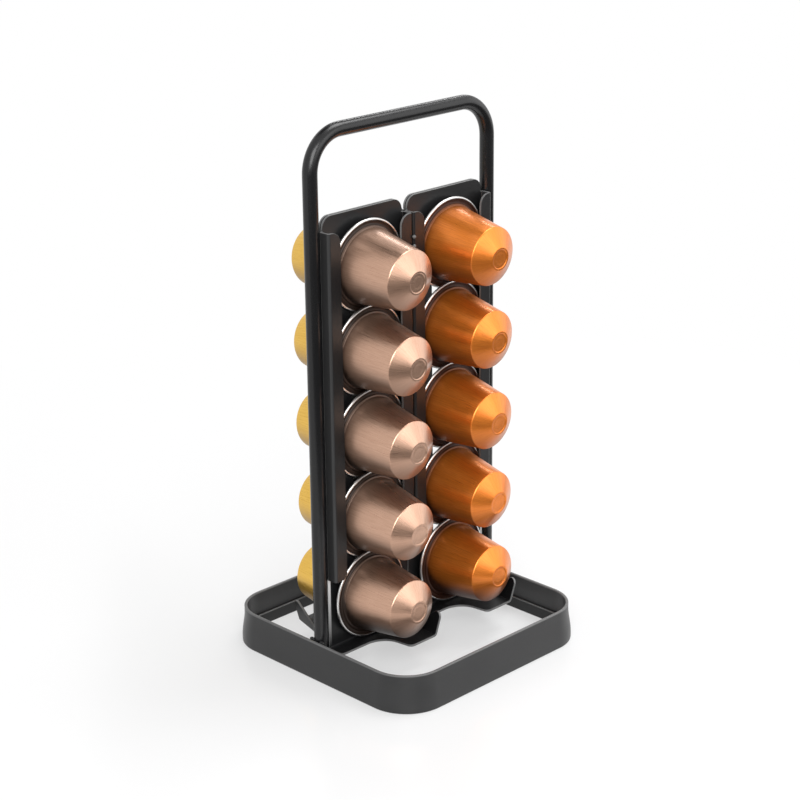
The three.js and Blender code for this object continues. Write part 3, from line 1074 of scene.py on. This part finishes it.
    def _fold_wing(self, u: float, v: float) -> tuple[Vector, Vector]:
        """Fold a point of the wing.

        Args:
            u: Place across the flat sheet.
            v: Height in the flat sheet.

        Returns:
            The point on the sheet's middle and its normal, as x, reach and height.
        """
        offset = Vector((u, v)) - self.heel
        along, across = offset.dot(self.crease), offset.dot(self.outward) + self.wing_tangent
        angle = min(across, self.wing_arc) / self.fold_radius
        extra = max(0.0, across - self.wing_arc)
        cos, sin = math.cos(angle), math.sin(angle)
        side = self.fold_radius * sin - self.wing_tangent + extra * cos
        rise = self.fold_radius * (1 - cos) + extra * sin
        place = self.heel_place + self.wing_ahead * along + self.wing_side * side + self.tray_normal * rise
        return place, self.tray_normal * cos - self.wing_side * sin

    def _fold_wall(self, u: float, v: float) -> tuple[Vector, Vector]:
        """Fold a point of the web, a wall or a lip.

        Args:
            u: Place across the flat sheet.
            v: Height in the flat sheet.

        Returns:
            The point on the sheet's middle and its normal, as x, reach and height.
        """
        sign = math.copysign(1.0, u)
        run = max(0.0, abs(u) - self.flat_half)
        first = min(run, self.quarter) / self.fold_radius
        wall = min(max(0.0, run - self.quarter), self.wall)
        second = min(max(0.0, run - self.quarter - self.wall), self.lip_quarter) / self.lip_fold
        lip = max(0.0, run - self.quarter - self.lip_quarter - self.wall)
        turned = self.fold_radius * math.sin(first) - self.lip_fold * (1 - math.cos(second))
        bent = self.fold_radius * (1 - math.cos(first)) + self.lip_fold * math.sin(second)
        x = min(abs(u), self.flat_half) + turned - lip
        turn = first + second
        place = Vector((sign * x, self.web_middle + bent + wall, v))
        return place, Vector((-sign * math.sin(turn), math.cos(turn), 0.0))

    def _folder(self, u: float, v: float) -> Callable[[float, float], tuple[Vector, Vector]]:
        """Choose how a point of the flat sheet folds.

        Args:
            u: Place across the flat sheet.
            v: Height in the flat sheet.

        Returns:
            The method that folds it.
        """
        offset = Vector((u, v)) - self.heel
        if v < self.fold_top:
            on_wing = offset.dot(self.crease) > 0 and offset.dot(self.outward) > -self.wing_tangent
            return self._fold_wing if on_wing else self._fold_tray
        if self.lip_bottom < v < self.lip_top:
            return self._fold_wall
        return lambda x, height: (Vector((x, self.web_middle, height)), Vector((0.0, 1.0, 0.0)))

    def _painted_light(self, u: float, v: float, on_edge: bool) -> float:
        """Find how much painted light lightens the coat at a point.

        Args:
            u: Place across the flat sheet.
            v: Height in the flat sheet.
            on_edge: Whether it lies on the cut edge.

        Returns:
            A level from zero to one.
        """
        out = u * self.outer_sign
        margin = self.width / 2 - self.lit_margin - self.lit_margin_reach
        # Painted highlight: the web's outer margin between the tray and the lips is drawn light, standing in for the
        # lit cut edge beside the rod.
        if out > margin and self.fold_top <= v < self.lip_bottom:
            return 1.0
        # Painted highlight along the cut edges.
        if on_edge:
            return self.edge_highlight
        wall_start = self.flat_half + self.quarter / 2
        on_wall = wall_start < abs(u) < wall_start + self.wall + self.quarter
        if v <= self.lip_bottom or not on_wall:
            return self.face_light
        # Painted shade: walls on the seam side stay black, the outer walls get a slight lift.
        return 0.0 if out < 0 else self.wall_light

    def _world(self, place: Vector) -> np.ndarray:
        """Turn x, reach and height into the stand's frame."""
        sign_x, sign_y = self.place.side.value
        return np.array([sign_x * place.x, sign_y * place.y, place.z])

    def build(self, material: bpy.types.Material) -> None:
        """Make the channel: both faces of the folded sheet, joined by a rounded edge.

        Args:
            material: The coat.
        """
        pattern = flat_pattern(self._outline(), self._slot(), self._folds(), self.edge)
        half, thin = self.sheet / 2, self.sheet / 2 - self.edge
        points: list[np.ndarray] = []
        normals: list[np.ndarray] = []
        painted_levels: list[float] = []
        for u, v in pattern.points:
            place, normal = self._folder(u, v)(u, v)
            painted_levels += [self._painted_light(u, v, False)] * 2
            for way in (1, -1):
                points.append(self._world(place + normal * half * way))
                normals.append(self._world(normal * way))
        outer_at: dict[int, int] = {}
        for i, outer in pattern.rim_outer.items():
            inner = pattern.points[i]
            folder = self._folder(*inner)
            place, normal = folder(*outer)
            outward = (place - folder(*inner)[0]).normalized()
            outer_at[i] = len(points)
            painted_levels += [self._painted_light(*inner, True)] * 2
            for way in (1, -1):
                points.append(self._world(place + normal * thin * way))
                normals.append(self._world(outward))
        faces: list[tuple[int, ...]] = []
        for i, j, k in pattern.triangles:
            faces += [(2 * i, 2 * j, 2 * k), (2 * k + 1, 2 * j + 1, 2 * i + 1)]
        for i, j in pattern.rim:
            a, b = outer_at[i], outer_at[j]
            faces += [(2 * j, 2 * i, a, b), (b, a, a + 1, b + 1), (b + 1, a + 1, 2 * i + 1, 2 * j + 1)]
        used = sorted({i for face in faces for i in face})
        renumbered = {old: new for new, old in enumerate(used)}
        faces = [tuple(renumbered[i] for i in face) for face in faces]
        corner_normals = np.array(normals)[used][[i for face in faces for i in face]]
        place = np.array(points)[used] + [self.middle, 0.0, 0.0]
        channel = make_piece(f"channel_{self.place.label}_sheet", place, faces, [material], corner_normals)
        write_attribute(channel, "edge", [painted_levels[i] for i in used])
        settle(channel, RACK, self.coat.slot, f"channel_{self.place.label}")


@dataclass(frozen=True)
class Ripples:
    """A row of weld ripples, from the lowest upwards."""

    count: int
    start: Triple
    rise: float
    size: Triple
    # How much painted highlight lightens the beads.
    bead_highlight: float


@dataclass
class WeldBeads:
    """Welds laid down as a row of ripples that melt into each other."""

    coat: PowderCoat
    voxel: float = 0.13
    threshold: float = 0.1
    foot_count: int = 11
    foot_width_share: float = 0.62
    foot_depth_share: float = 0.46
    foot_ripple: float = 0.75
    tack_count: int = 2
    tack_width_share: float = 1.1
    tack_highlight: float = 0.15

    def _tree(self) -> bpy.types.NodeTree:
        """Make the tree that strings ripples along a line and melts them together.

        Returns:
            The tree.
        """
        inputs = {
            "Count": "Int", "Start": "Vector", "Step": "Vector", "Ripple": "Vector",
            "Voxel": "Float", "Material": "Material",
        }
        graph, out = growth_tree("weld_beads", inputs)
        line = graph.shape("MeshLine", Count=out["Count"], Start_Location=out["Start"], Offset=out["Step"])
        ball = graph.shape("MeshIcoSphere", Radius=1.0, Subdivisions=4)
        row = graph.shape("InstanceOnPoints", Points=line, Instance=ball, Scale=out["Ripple"])
        real = graph.shape("RealizeInstances", Geometry=row)
        mode, voxel = {"resolution_mode": "VOXEL_SIZE"}, out["Voxel"]
        cloud = graph.shape("MeshToVolume", mode, Mesh=real, Voxel_Size=voxel, Interior_Band_Width=voxel)
        skin = graph.shape("VolumeToMesh", mode, Volume=cloud, Voxel_Size=voxel, Threshold=self.threshold)
        return close_tree(graph, out, skin)

    def _foot(self, low: Vector, high: Vector) -> Ripples:
        """Lay the weld at the foot of an upright.

        Args:
            low: Lower corner of its CAD node.
            high: Upper corner.

        Returns:
            Its ripples.
        """
        wide, deep, tall = (far - near for near, far in zip(low, high))
        size = (wide * self.foot_width_share, deep * self.foot_depth_share, self.foot_ripple)
        rise = (tall - 2 * self.foot_ripple) / (self.foot_count - 1)
        start = ((low.x + high.x) / 2, (low.y + high.y) / 2, low.z + self.foot_ripple)
        return Ripples(self.foot_count, start, rise, size, 0.0)

    def _tacks(self, low: Vector, high: Vector) -> Ripples:
        """Lay the tacks between the two middle lips.

        Args:
            low: Lower corner of their CAD node.
            high: Upper corner.

        Returns:
            Their ripples, which stay apart.
        """
        radius = (high.x - low.x) / 2
        middle = (low + high) / 2
        size = (radius * self.tack_width_share, radius, radius)
        start = (middle.x, middle.y, low.z + radius)
        return Ripples(self.tack_count, start, high.z - low.z - 2 * radius, size, self.tack_highlight)

    def build(self, material: bpy.types.Material) -> None:
        """Make the foot welds and the tacks.

        Args:
            material: The coat.
        """
        tree = self._tree()
        feet = [f"weld_foot_{side}_{end}" for side in ("left", "right") for end in ("front", "rear")]
        tacks = [f"weld_tacks_{side}" for side in ("front", "rear")]
        for node in feet + tacks:
            low, high = (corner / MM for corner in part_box(node))
            row = self._foot(low, high) if node in feet else self._tacks(low, high)
            vectors = {"Start": row.start, "Step": (0.0, 0.0, row.rise), "Ripple": row.size}
            inputs = {label: [value * MM for value in vector] for label, vector in vectors.items()}
            inputs |= {"Count": row.count, "Voxel": self.voxel * MM, "Material": material}
            bead = grow(f"{node}_bead", empty_seed(), tree, inputs)
            face_outwards(bead)
            # Painted highlight: the tacks get a light dot, the foot welds none.
            write_attribute(bead, "edge", [row.bead_highlight] * len(bead.data.vertices))
            settle(bead, RACK, self.coat.slot, node)


@dataclass
class Capsule:
    """Shape of one capsule, drawn from its axis outwards and from its foil forwards.

    Steps and rings are corners beside a named size, with their distance out, their rise and their rounding.
    The rows split the cone, the lines are those of the brush, and the groove's start and fade and the
    underside's start and span say where painted shade darkens the finish.
    """

    rim: float = 18.5
    curl: float = 0.65
    curl_points: int = 24
    curl_turn: Point = (140.0, -165.0)
    curl_gap: float = 0.1
    curl_foot: Point = (1.9, 0.12)
    flange: float = 0.95
    groove: float = 0.62
    groove_slope: float = 0.45
    groove_rounds: Point = (0.15, 0.1)
    step_radius: float = 15.85
    steps: tuple[Triple, ...] = ((-0.15, 0.45, 0.2), (0.0, 0.0, 0.12))
    body: float = 15.0
    body_foot: float = 0.75
    body_spread: float = 0.02
    body_round: float = 0.4
    shoulder: float = 11.8
    shoulder_height: float = 23.7
    shoulder_round: float = 0.75
    length: float = 28.0
    nose: float = 4.6
    nose_round: float = 0.35
    dish: float = 0.26
    dish_radius: float = 3.7
    dish_slope: float = 0.3
    dish_rounds: Point = (0.2, 0.15)
    pip: float = 2.0
    pip_ring: tuple[Triple, ...] = ((0.0, 0.0, 0.1), (0.15, 0.03, 0.06), (0.45, 0.03, 0.06), (0.6, 0.0, 0.1))
    cone_rows: tuple[float, ...] = (0.8, 0.5, 0.32, 0.2, 0.12, 0.06)
    wall: float = 0.4
    back_start: float = 2.2
    back_drop: float = 0.28
    lid_radius: float = 16.9
    lid_thickness: float = 0.25
    lid_edge: float = 0.04
    seal: float = 0.6
    seal_ring: tuple[Point, ...] = ((0.5, 0.04), (0.25, 0.1), (-0.25, 0.1), (-0.5, 0.04))
    lid_dip: Point = (1.5, 0.03)
    lid_flat: float = 0.5
    sides: int = 112
    arc_step: float = 15.0
    line_count: float = 110.0
    line_length: float = 9.0
    groove_shade_start: float = 1.2
    groove_shade_fade: float = 2.6
    underside_shade_start: float = 0.3
    underside_shade_span: float = 0.95

    def shell(self) -> tuple[list[Point], int]:
        """Draw the profile of the body from the nose round the rim and back inside.

        Returns:
            Points of radius and height, and how many of them come before the bare rim.
        """
        floor, foot = self.length - self.dish, self.flange + self.body_foot
        taper, climb = self.shoulder - self.body, self.shoulder_height - foot
        curl_start, curl_rise = self.curl_foot
        outer = rounded([
            (0.0, floor), *((self.pip + out, floor + rise, bend) for out, rise, bend in self.pip_ring),
            (self.dish_radius, floor, self.dish_rounds[0]),
            (self.dish_radius + self.dish_slope, self.length, self.dish_rounds[1]),
            (self.nose, self.length, self.nose_round), (self.shoulder, self.shoulder_height, self.shoulder_round),
            *((self.body + taper * share, foot + climb * share) for share in self.cone_rows),
            (self.body + self.body_spread, foot, self.body_round),
            *((self.step_radius + out, self.flange + rise, bend) for out, rise, bend in self.steps),
            (self.step_radius + self.groove_slope, self.groove, self.groove_rounds[0]),
            (self.rim - 2 * self.curl + self.curl_gap, self.groove, self.groove_rounds[1]),
            (self.rim - curl_start * self.curl, self.flange + curl_rise),
        ], self.arc_step, False)
        turns = np.linspace(*(math.radians(turn) for turn in self.curl_turn), self.curl_points)
        curl = [(self.rim - self.curl * (1 - math.cos(turn)), self.curl * (1 + math.sin(turn))) for turn in turns]
        back = self.groove - self.back_drop
        inner = [
            (self.rim - self.back_start * self.curl, back), (self.body - self.wall, back),
            (self.shoulder - self.wall, self.shoulder_height - self.wall / 2),
            (self.dish_radius, floor - self.wall), (0.0, floor - self.wall),
        ]
        return outer + curl + inner, len(outer) + 3

    def lid(self) -> list[Point]:
        """Draw the profile of the foil lid, embossed with a ring where it is sealed.

        Returns:
            Points of radius and height.
        """
        seal = self.body + self.seal
        inset, dip = self.lid_dip
        return [
            (0.0, self.lid_thickness), (self.lid_radius, self.lid_thickness), (self.lid_radius, self.lid_edge),
            *((seal + out, level) for out, level in self.seal_ring),
            (self.body - inset, dip), (self.body * self.lid_flat, 0.0), (0.0, 0.0),
        ]

    def _painted_shade(self, radius: float, height: float, rise: float, under: float) -> float:
        """Find how much painted shade darkens the finish: in the groove beside the rim and along the underside.

        Args:
            radius: Distance from the axis.
            height: Distance from the foil.
            rise: Sine of the angle above the level of the axis.
            under: How strong the painted shade on the underside is.

        Returns:
            A level from zero to one.
        """
        # Painted shade in the groove beside the rim and on the underside, where shade falls.
        groove = math.exp(-max(0.0, height - self.groove_shade_start) / self.groove_shade_fade)
        low = min(1.0, max(0.0, (self.underside_shade_start * under - rise) / self.underside_shade_span))
        facet = 1.0 if height < self.shoulder_height else under
        return min(1.0, groove + under * facet * low * low * (3 - 2 * low) * min(1.0, radius / self.shoulder))

    def turn(self, profile: Sequence[Point], rim_from: int | None = None, under: float = 0.0) -> bpy.types.Object:
        """Turn a profile round the axis, with its axis along local reach.

        Args:
            profile: Points of radius and height that begin and end on the axis.
            rim_from: First point of the bare rim, or none where all is one finish.
            under: How strong the painted shade on the underside is.

        Returns:
            The seed object, which carries the brush, painted shade and rim attributes.
        """
        count = self.sides
        turns = np.linspace(0, 2 * math.pi, count, endpoint=False)
        cos, sin = np.cos(turns), np.sin(turns)
        middle = np.array(profile[1:-1])
        rows = len(middle)
        heights = np.repeat(middle[:, 1:], count, 1)
        rings = np.stack([np.outer(middle[:, 0], cos), -heights, np.outer(middle[:, 0], sin)], 2)
        first, last = (0.0, -profile[0][1], 0.0), (0.0, -profile[-1][1], 0.0)
        points = np.vstack([[first], rings.reshape(-1, 3), [last]])
        end = rows * count + 1
        last_row = end - count
        faces: list[tuple[int, ...]] = []
        for j in range(count):
            k = (j + 1) % count
            faces.append((0, 1 + j, 1 + k))
            for a in range(1, last_row, count):
                faces.append((a + j, a + count + j, a + count + k, a + k))
            faces.append((last_row + k, last_row + j, end))
        seed = make_piece("seed", points, faces, [])
        steps = np.linalg.norm(np.diff(np.array(profile), axis=0), axis=1)
        along = np.concatenate([[0.0], np.cumsum(steps)]) / self.line_length
        round_lines = [np.tile(way, rows) * self.line_count for way in (cos, sin)]
        ring_lines = np.stack([*round_lines, np.repeat(along[1:-1], count)], 1)
        lines = np.vstack([[[0.0, 0.0, along[0]]], ring_lines, [[0.0, 0.0, along[-1]]]])
        write_attribute(seed, "brush", lines.ravel(), "FLOAT_VECTOR")
        shade_levels = [self._painted_shade(radius, height, rise, under) for radius, height in profile[1:-1] for rise in sin]
        write_attribute(seed, "deep", [0.0, *shade_levels, 0.0])
        per_side = rows + 1
        start = per_side if rim_from is None else rim_from
        write_attribute(seed, "bare", [i % per_side >= start for i in range(len(faces))], "BOOLEAN", "FACE")
        face_outwards(seed)
        return seed


@dataclass
class CapsuleColumn:
    """One column of five capsules, each a shell and a foil lid on a body of its own."""

    place: Place
    finish: BrushedMetal
    shape: Capsule
    count: int = 5
    lean: float = math.radians(3.6)
    bottom_lean: float = 0.0
    # Strength of the painted shade on the capsules' undersides; strongest for the bottom capsule.
    underside: float = 0.7
    bottom_underside: float = 0.97
    grain_step: float = 9.7
    column_step: float = 61.0

    @staticmethod
    def tree() -> bpy.types.NodeTree:
        """Make the tree that stands a capsule in its place, turns its brush lines and gives it its finishes.

        Returns:
            The tree.
        """
        inputs = {
            "Foil": "Vector", "Tilt": "Float", "Turn": "Float", "Grain seed": "Vector",
            "Rim": "Material", "Material": "Material",
        }
        graph, out = growth_tree("standing_capsule", inputs)
        read = graph.shape("InputNamedAttribute", {"data_type": "FLOAT_VECTOR"}, Name="brush")
        moved = graph.add("ShaderNodeVectorMath", {"operation": "ADD"}, {0: read, 1: out["Grain seed"]}).outputs[0]
        kind = {"data_type": "FLOAT_VECTOR", "domain": "POINT"}
        store = graph.shape("StoreNamedAttribute", kind, Geometry=out["Geometry"], Name="brush", Value=moved)
        line = graph.shape("MeshLine", Count=1, Start_Location=out["Foil"])
        tilt = graph.add("ShaderNodeCombineXYZ", None, {"X": out["Tilt"], "Z": out["Turn"]}).outputs[0]
        stood = graph.shape("InstanceOnPoints", Points=line, Instance=store, Rotation=tilt)
        real = graph.shape("RealizeInstances", Geometry=stood)
        coloured = graph.shape("SetMaterial", Geometry=real, Material=out["Material"])
        bare = graph.shape("InputNamedAttribute", {"data_type": "BOOLEAN"}, Name="bare")
        rimmed = graph.shape("SetMaterial", Geometry=coloured, Selection=bare, Material=out["Rim"])
        graph.add("NodeGroupOutput", None, {0: rimmed})
        return graph.tree

    def build(
        self,
        tree: bpy.types.NodeTree,
        colour: bpy.types.Material,
        rim: bpy.types.Material,
        foil: bpy.types.Material,
    ) -> None:
        """Make the column.

        Args:
            tree: The tree that stands a capsule.
            colour: Finish of the shells.
            rim: Finish of their rolled rims.
            foil: Finish of the lids.
        """
        turn = 0.0 if self.place.side is Side.FRONT else math.pi
        column_grain = self.column_step * list(Place).index(self.place)
        profile, before_rim = self.shape.shell()
        for level in range(self.count):
            body = f"capsule_{self.place.label}_{level + 1}"
            lean = self.lean if level else self.bottom_lean
            under = self.underside if level else self.bottom_underside
            low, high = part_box(f"{body}_lid")
            back = Vector((0.0, -self.place.side.value[1] * math.cos(lean), math.sin(lean)))
            inputs = {
                "Foil": (low + high) / 2 + back * (self.shape.lid_thickness / 2 * MM),
                "Tilt": lean, "Turn": turn,
                "Grain seed": [0.0, 0.0, self.grain_step * (level + 1) + column_grain],
                "Rim": rim, "Material": colour,
            }
            shell = grow(f"{body}_shell", self.shape.turn(profile, before_rim, under), tree, inputs)
            settle(shell, body, self.finish.slot, f"{body}_body")
            inputs |= {"Rim": foil, "Material": foil}
            lid = grow(f"{body}_foil", self.shape.turn(self.shape.lid()), tree, inputs)
            settle(lid, body, FOIL_SLOT, f"{body}_lid")


@dataclass(frozen=True)
class Lamp:
    """A soft lamp that looks at the stand's middle, with its sides in millimetres and its power in watts."""

    name: str
    place: Triple
    size: Point
    power: float

    def hang(self, aim: Triple) -> None:
        """Put the lamp in the scene.

        Args:
            aim: What it looks at.
        """
        data = bpy.data.lights.new(self.name, "AREA")
        data.shape = "RECTANGLE"
        data.size, data.size_y = self.size[0] * MM, self.size[1] * MM
        data.energy = self.power
        lamp = bpy.data.objects.new(self.name, data)
        lamp.location = Vector(self.place) * MM
        lamp.rotation_mode = "QUATERNION"
        lamp.rotation_quaternion = (Vector(aim) - Vector(self.place)).to_track_quat("-Z", "Y")
        bpy.context.scene.collection.objects.link(lamp)


@dataclass(frozen=True)
class Card:
    """A grey card that only polished surfaces see."""

    name: str
    middle: Triple
    normal: Triple
    size: Point
    level: float

    def hang(self) -> None:
        """Put the card in the scene."""
        graph = MaterialGraph(self.name)
        graph.feed(graph.output.inputs["Surface"], graph.glow(self.level))
        turn = Vector(self.normal).to_track_quat("Z", "Y")
        wide, tall = self.size[0] / 2, self.size[1] / 2
        corners = [(-wide, -tall), (wide, -tall), (wide, tall), (-wide, tall)]
        points = [Vector(self.middle) + turn @ Vector((*corner, 0.0)) for corner in corners]
        card = make_piece(self.name, np.array(points), [(0, 1, 2, 3)], [graph.material])
        for ray in ("camera", "diffuse", "transmission", "shadow"):
            setattr(card, f"visible_{ray}", False)


@dataclass
class Studio:
    """Pale floor, soft lamps, white surroundings and the camera."""

    azimuth: float = math.radians(-44.696)
    elevation: float = math.radians(19.59)
    roll: float = math.radians(-0.629)
    distance: float = 810.49
    focal: float = 2045.58
    target: Triple = (-2.4, 0.0, 104.48)
    sensor: float = 36.0
    clip: Point = (0.01, 50.0)
    light_level: float = 0.5
    floor_side: float = 8000.0
    table_grey: Triple = (0.4, 0.4, 0.402)
    table_roughness: float = 0.16
    table_haze: float = 0.04
    table_cloud_scale: float = 9.0
    table_gloss: float = 0.4
    table_glow: float = 0.48
    white_near: float = 0.11
    white_far: float = 0.42
    middle: Triple = (0.0, 0.0, 110.0)
    lamps: tuple[Lamp, ...] = (
        Lamp("overhead", (300.0, -100.0, 850.0), (400.0, 400.0), 3.0),
        Lamp("strip", (504.0, 408.0, 574.0), (420.0, 60.0), 0.7),
        Lamp("key", (-500.0, -560.0, 520.0), (520.0, 520.0), 5.5),
        Lamp("fill", (650.0, -420.0, 380.0), (650.0, 650.0), 1.1),
        Lamp("front", (150.0, -680.0, 420.0), (500.0, 400.0), 1.1),
    )
    cards: tuple[Card, ...] = (
        Card("ceiling_card", (25.0, 357.0, 880.0), (-0.03, -0.42, -0.9), (360.0, 600.0), 0.1),
        Card("sky_card", (560.0, 520.0, 640.0), (-0.56, -0.52, -0.52), (620.0, 620.0), 0.3),
        Card("front_card", (-250.0, -1000.0, 60.0), (0.25, 1.0, 0.0), (1100.0, 240.0), 0.14),
        Card("table_card", (0.0, -760.0, 2.0), (0.0, 0.0, 1.0), (2600.0, 1200.0), 0.14),
    )

    def _camera(self) -> None:
        """Make the camera at the photograph's viewing angle."""
        a, e = self.azimuth, self.elevation
        back = Vector((math.sin(a) * math.cos(e), -math.cos(a) * math.cos(e), math.sin(e)))
        data = bpy.data.cameras.new("camera")
        data.sensor_width = self.sensor
        data.lens = self.focal * self.sensor / IMAGE_SIDE
        data.clip_start, data.clip_end = self.clip
        camera = bpy.data.objects.new("camera", data)
        camera.rotation_mode = "QUATERNION"
        turned = (-back).to_track_quat("-Z", "Y")
        turned.rotate(Quaternion(back, self.roll))
        camera.rotation_quaternion = turned
        camera.location = (Vector(self.target) + back * self.distance) * MM
        bpy.context.scene.collection.objects.link(camera)
        bpy.context.scene.camera = camera

    def _world(self) -> None:
        """Make surroundings that are white to camera, gloss and glass, and a softer level of light."""
        world = bpy.data.worlds.new("studio")
        bpy.context.scene.world = world
        world.use_nodes = True
        graph = Graph(world.node_tree)
        light, white = (
            graph.add("ShaderNodeBackground", None, {"Color": WHITE, "Strength": level}).outputs[0]
            for level in (self.light_level, 1.0)
        )
        graph.add("ShaderNodeOutputWorld", None, {"Surface": graph.blend(graph.seen(), light, white)})

    def _floor(self) -> None:
        """Make a white glossy table that keeps the shadow and a faint reflection, plain white further out."""
        graph = MaterialGraph("white_table")
        place = graph.object_place()
        cloud = graph.noise(place, self.table_cloud_scale, 2.0)
        graph.set(
            Base_Color=(*self.table_grey, 1.0),
            Roughness=self.table_roughness + self.table_haze * cloud,
            Specular_IOR_Level=self.table_gloss,
        )
        seen = graph.seen()
        away = graph.add("ShaderNodeVectorMath", {"operation": "LENGTH"}, {0: place}).outputs["Value"]
        far = graph.ramp(graph.number(away), [(self.white_near, 0.0), (self.white_far, 1.0)])
        extra = graph.blend(seen, graph.glow(0.0), graph.glow(self.table_glow))
        near = graph.add("ShaderNodeAddShader", None, {0: graph.surface.outputs[0], 1: extra}).outputs[0]
        graph.feed(graph.output.inputs["Surface"], graph.blend(far * seen, near, graph.glow(1.0)))
        half = self.floor_side / 2
        corners = np.array([(-half, -half, 0.0), (half, -half, 0.0), (half, half, 0.0), (-half, half, 0.0)])
        make_piece("floor", corners, [(0, 1, 2, 3)], [graph.material])

    def build(self) -> None:
        """Make the whole studio."""
        self._camera()
        self._world()
        self._floor()
        for lamp in self.lamps:
            lamp.hang(self.middle)
        for card in self.cards:
            card.hang()
        bpy.context.scene.view_settings.view_transform = "Standard"


def main() -> None:
    """Build the stand and its studio."""
    logging.basicConfig(level=logging.INFO, format="%(message)s")
    Studio().build()
    coat = PowderCoat()
    black = coat.material()
    BaseRing(coat).build(black)
    rod_coat = PowderCoat(name="rod_coat", roughness=0.2, gloss=0.4, bump=0.2)
    CarryHandle(rod_coat).build(rod_coat.material())
    for place in Place:
        FoldedChannel(place, coat).build(black)
    WeldBeads(coat).build(black)
    bare = BareMetal("rolled_rim").material()
    foil = BareMetal("foil", roughness=0.3, crease_scale=260.0, crease_depth=0.06).material()
    bronze = BrushedMetal("bronze_finish", "bronze_capsule", colour=(0.64, 0.4, 0.285), shade=(0.42, 0.235, 0.155))
    orange = BrushedMetal(
        "orange_finish", "orange_capsule", colour=(0.95, 0.29, 0.035), shade=(0.58, 0.12, 0.01),
        roughness=0.29, metallic=0.78,
    )
    gold = BrushedMetal(
        "gold_finish", "gold_capsule", colour=(0.87, 0.56, 0.1), shade=(0.62, 0.33, 0.03), painted_shade_share=0.45,
    )
    tree = CapsuleColumn.tree()
    for place, finish in {Place.FRONT_LEFT: bronze, Place.FRONT_RIGHT: orange, Place.REAR_LEFT: gold}.items():
        CapsuleColumn(place, finish, Capsule()).build(tree, finish.material(), bare, foil)


if __name__ == "__main__":
    main()
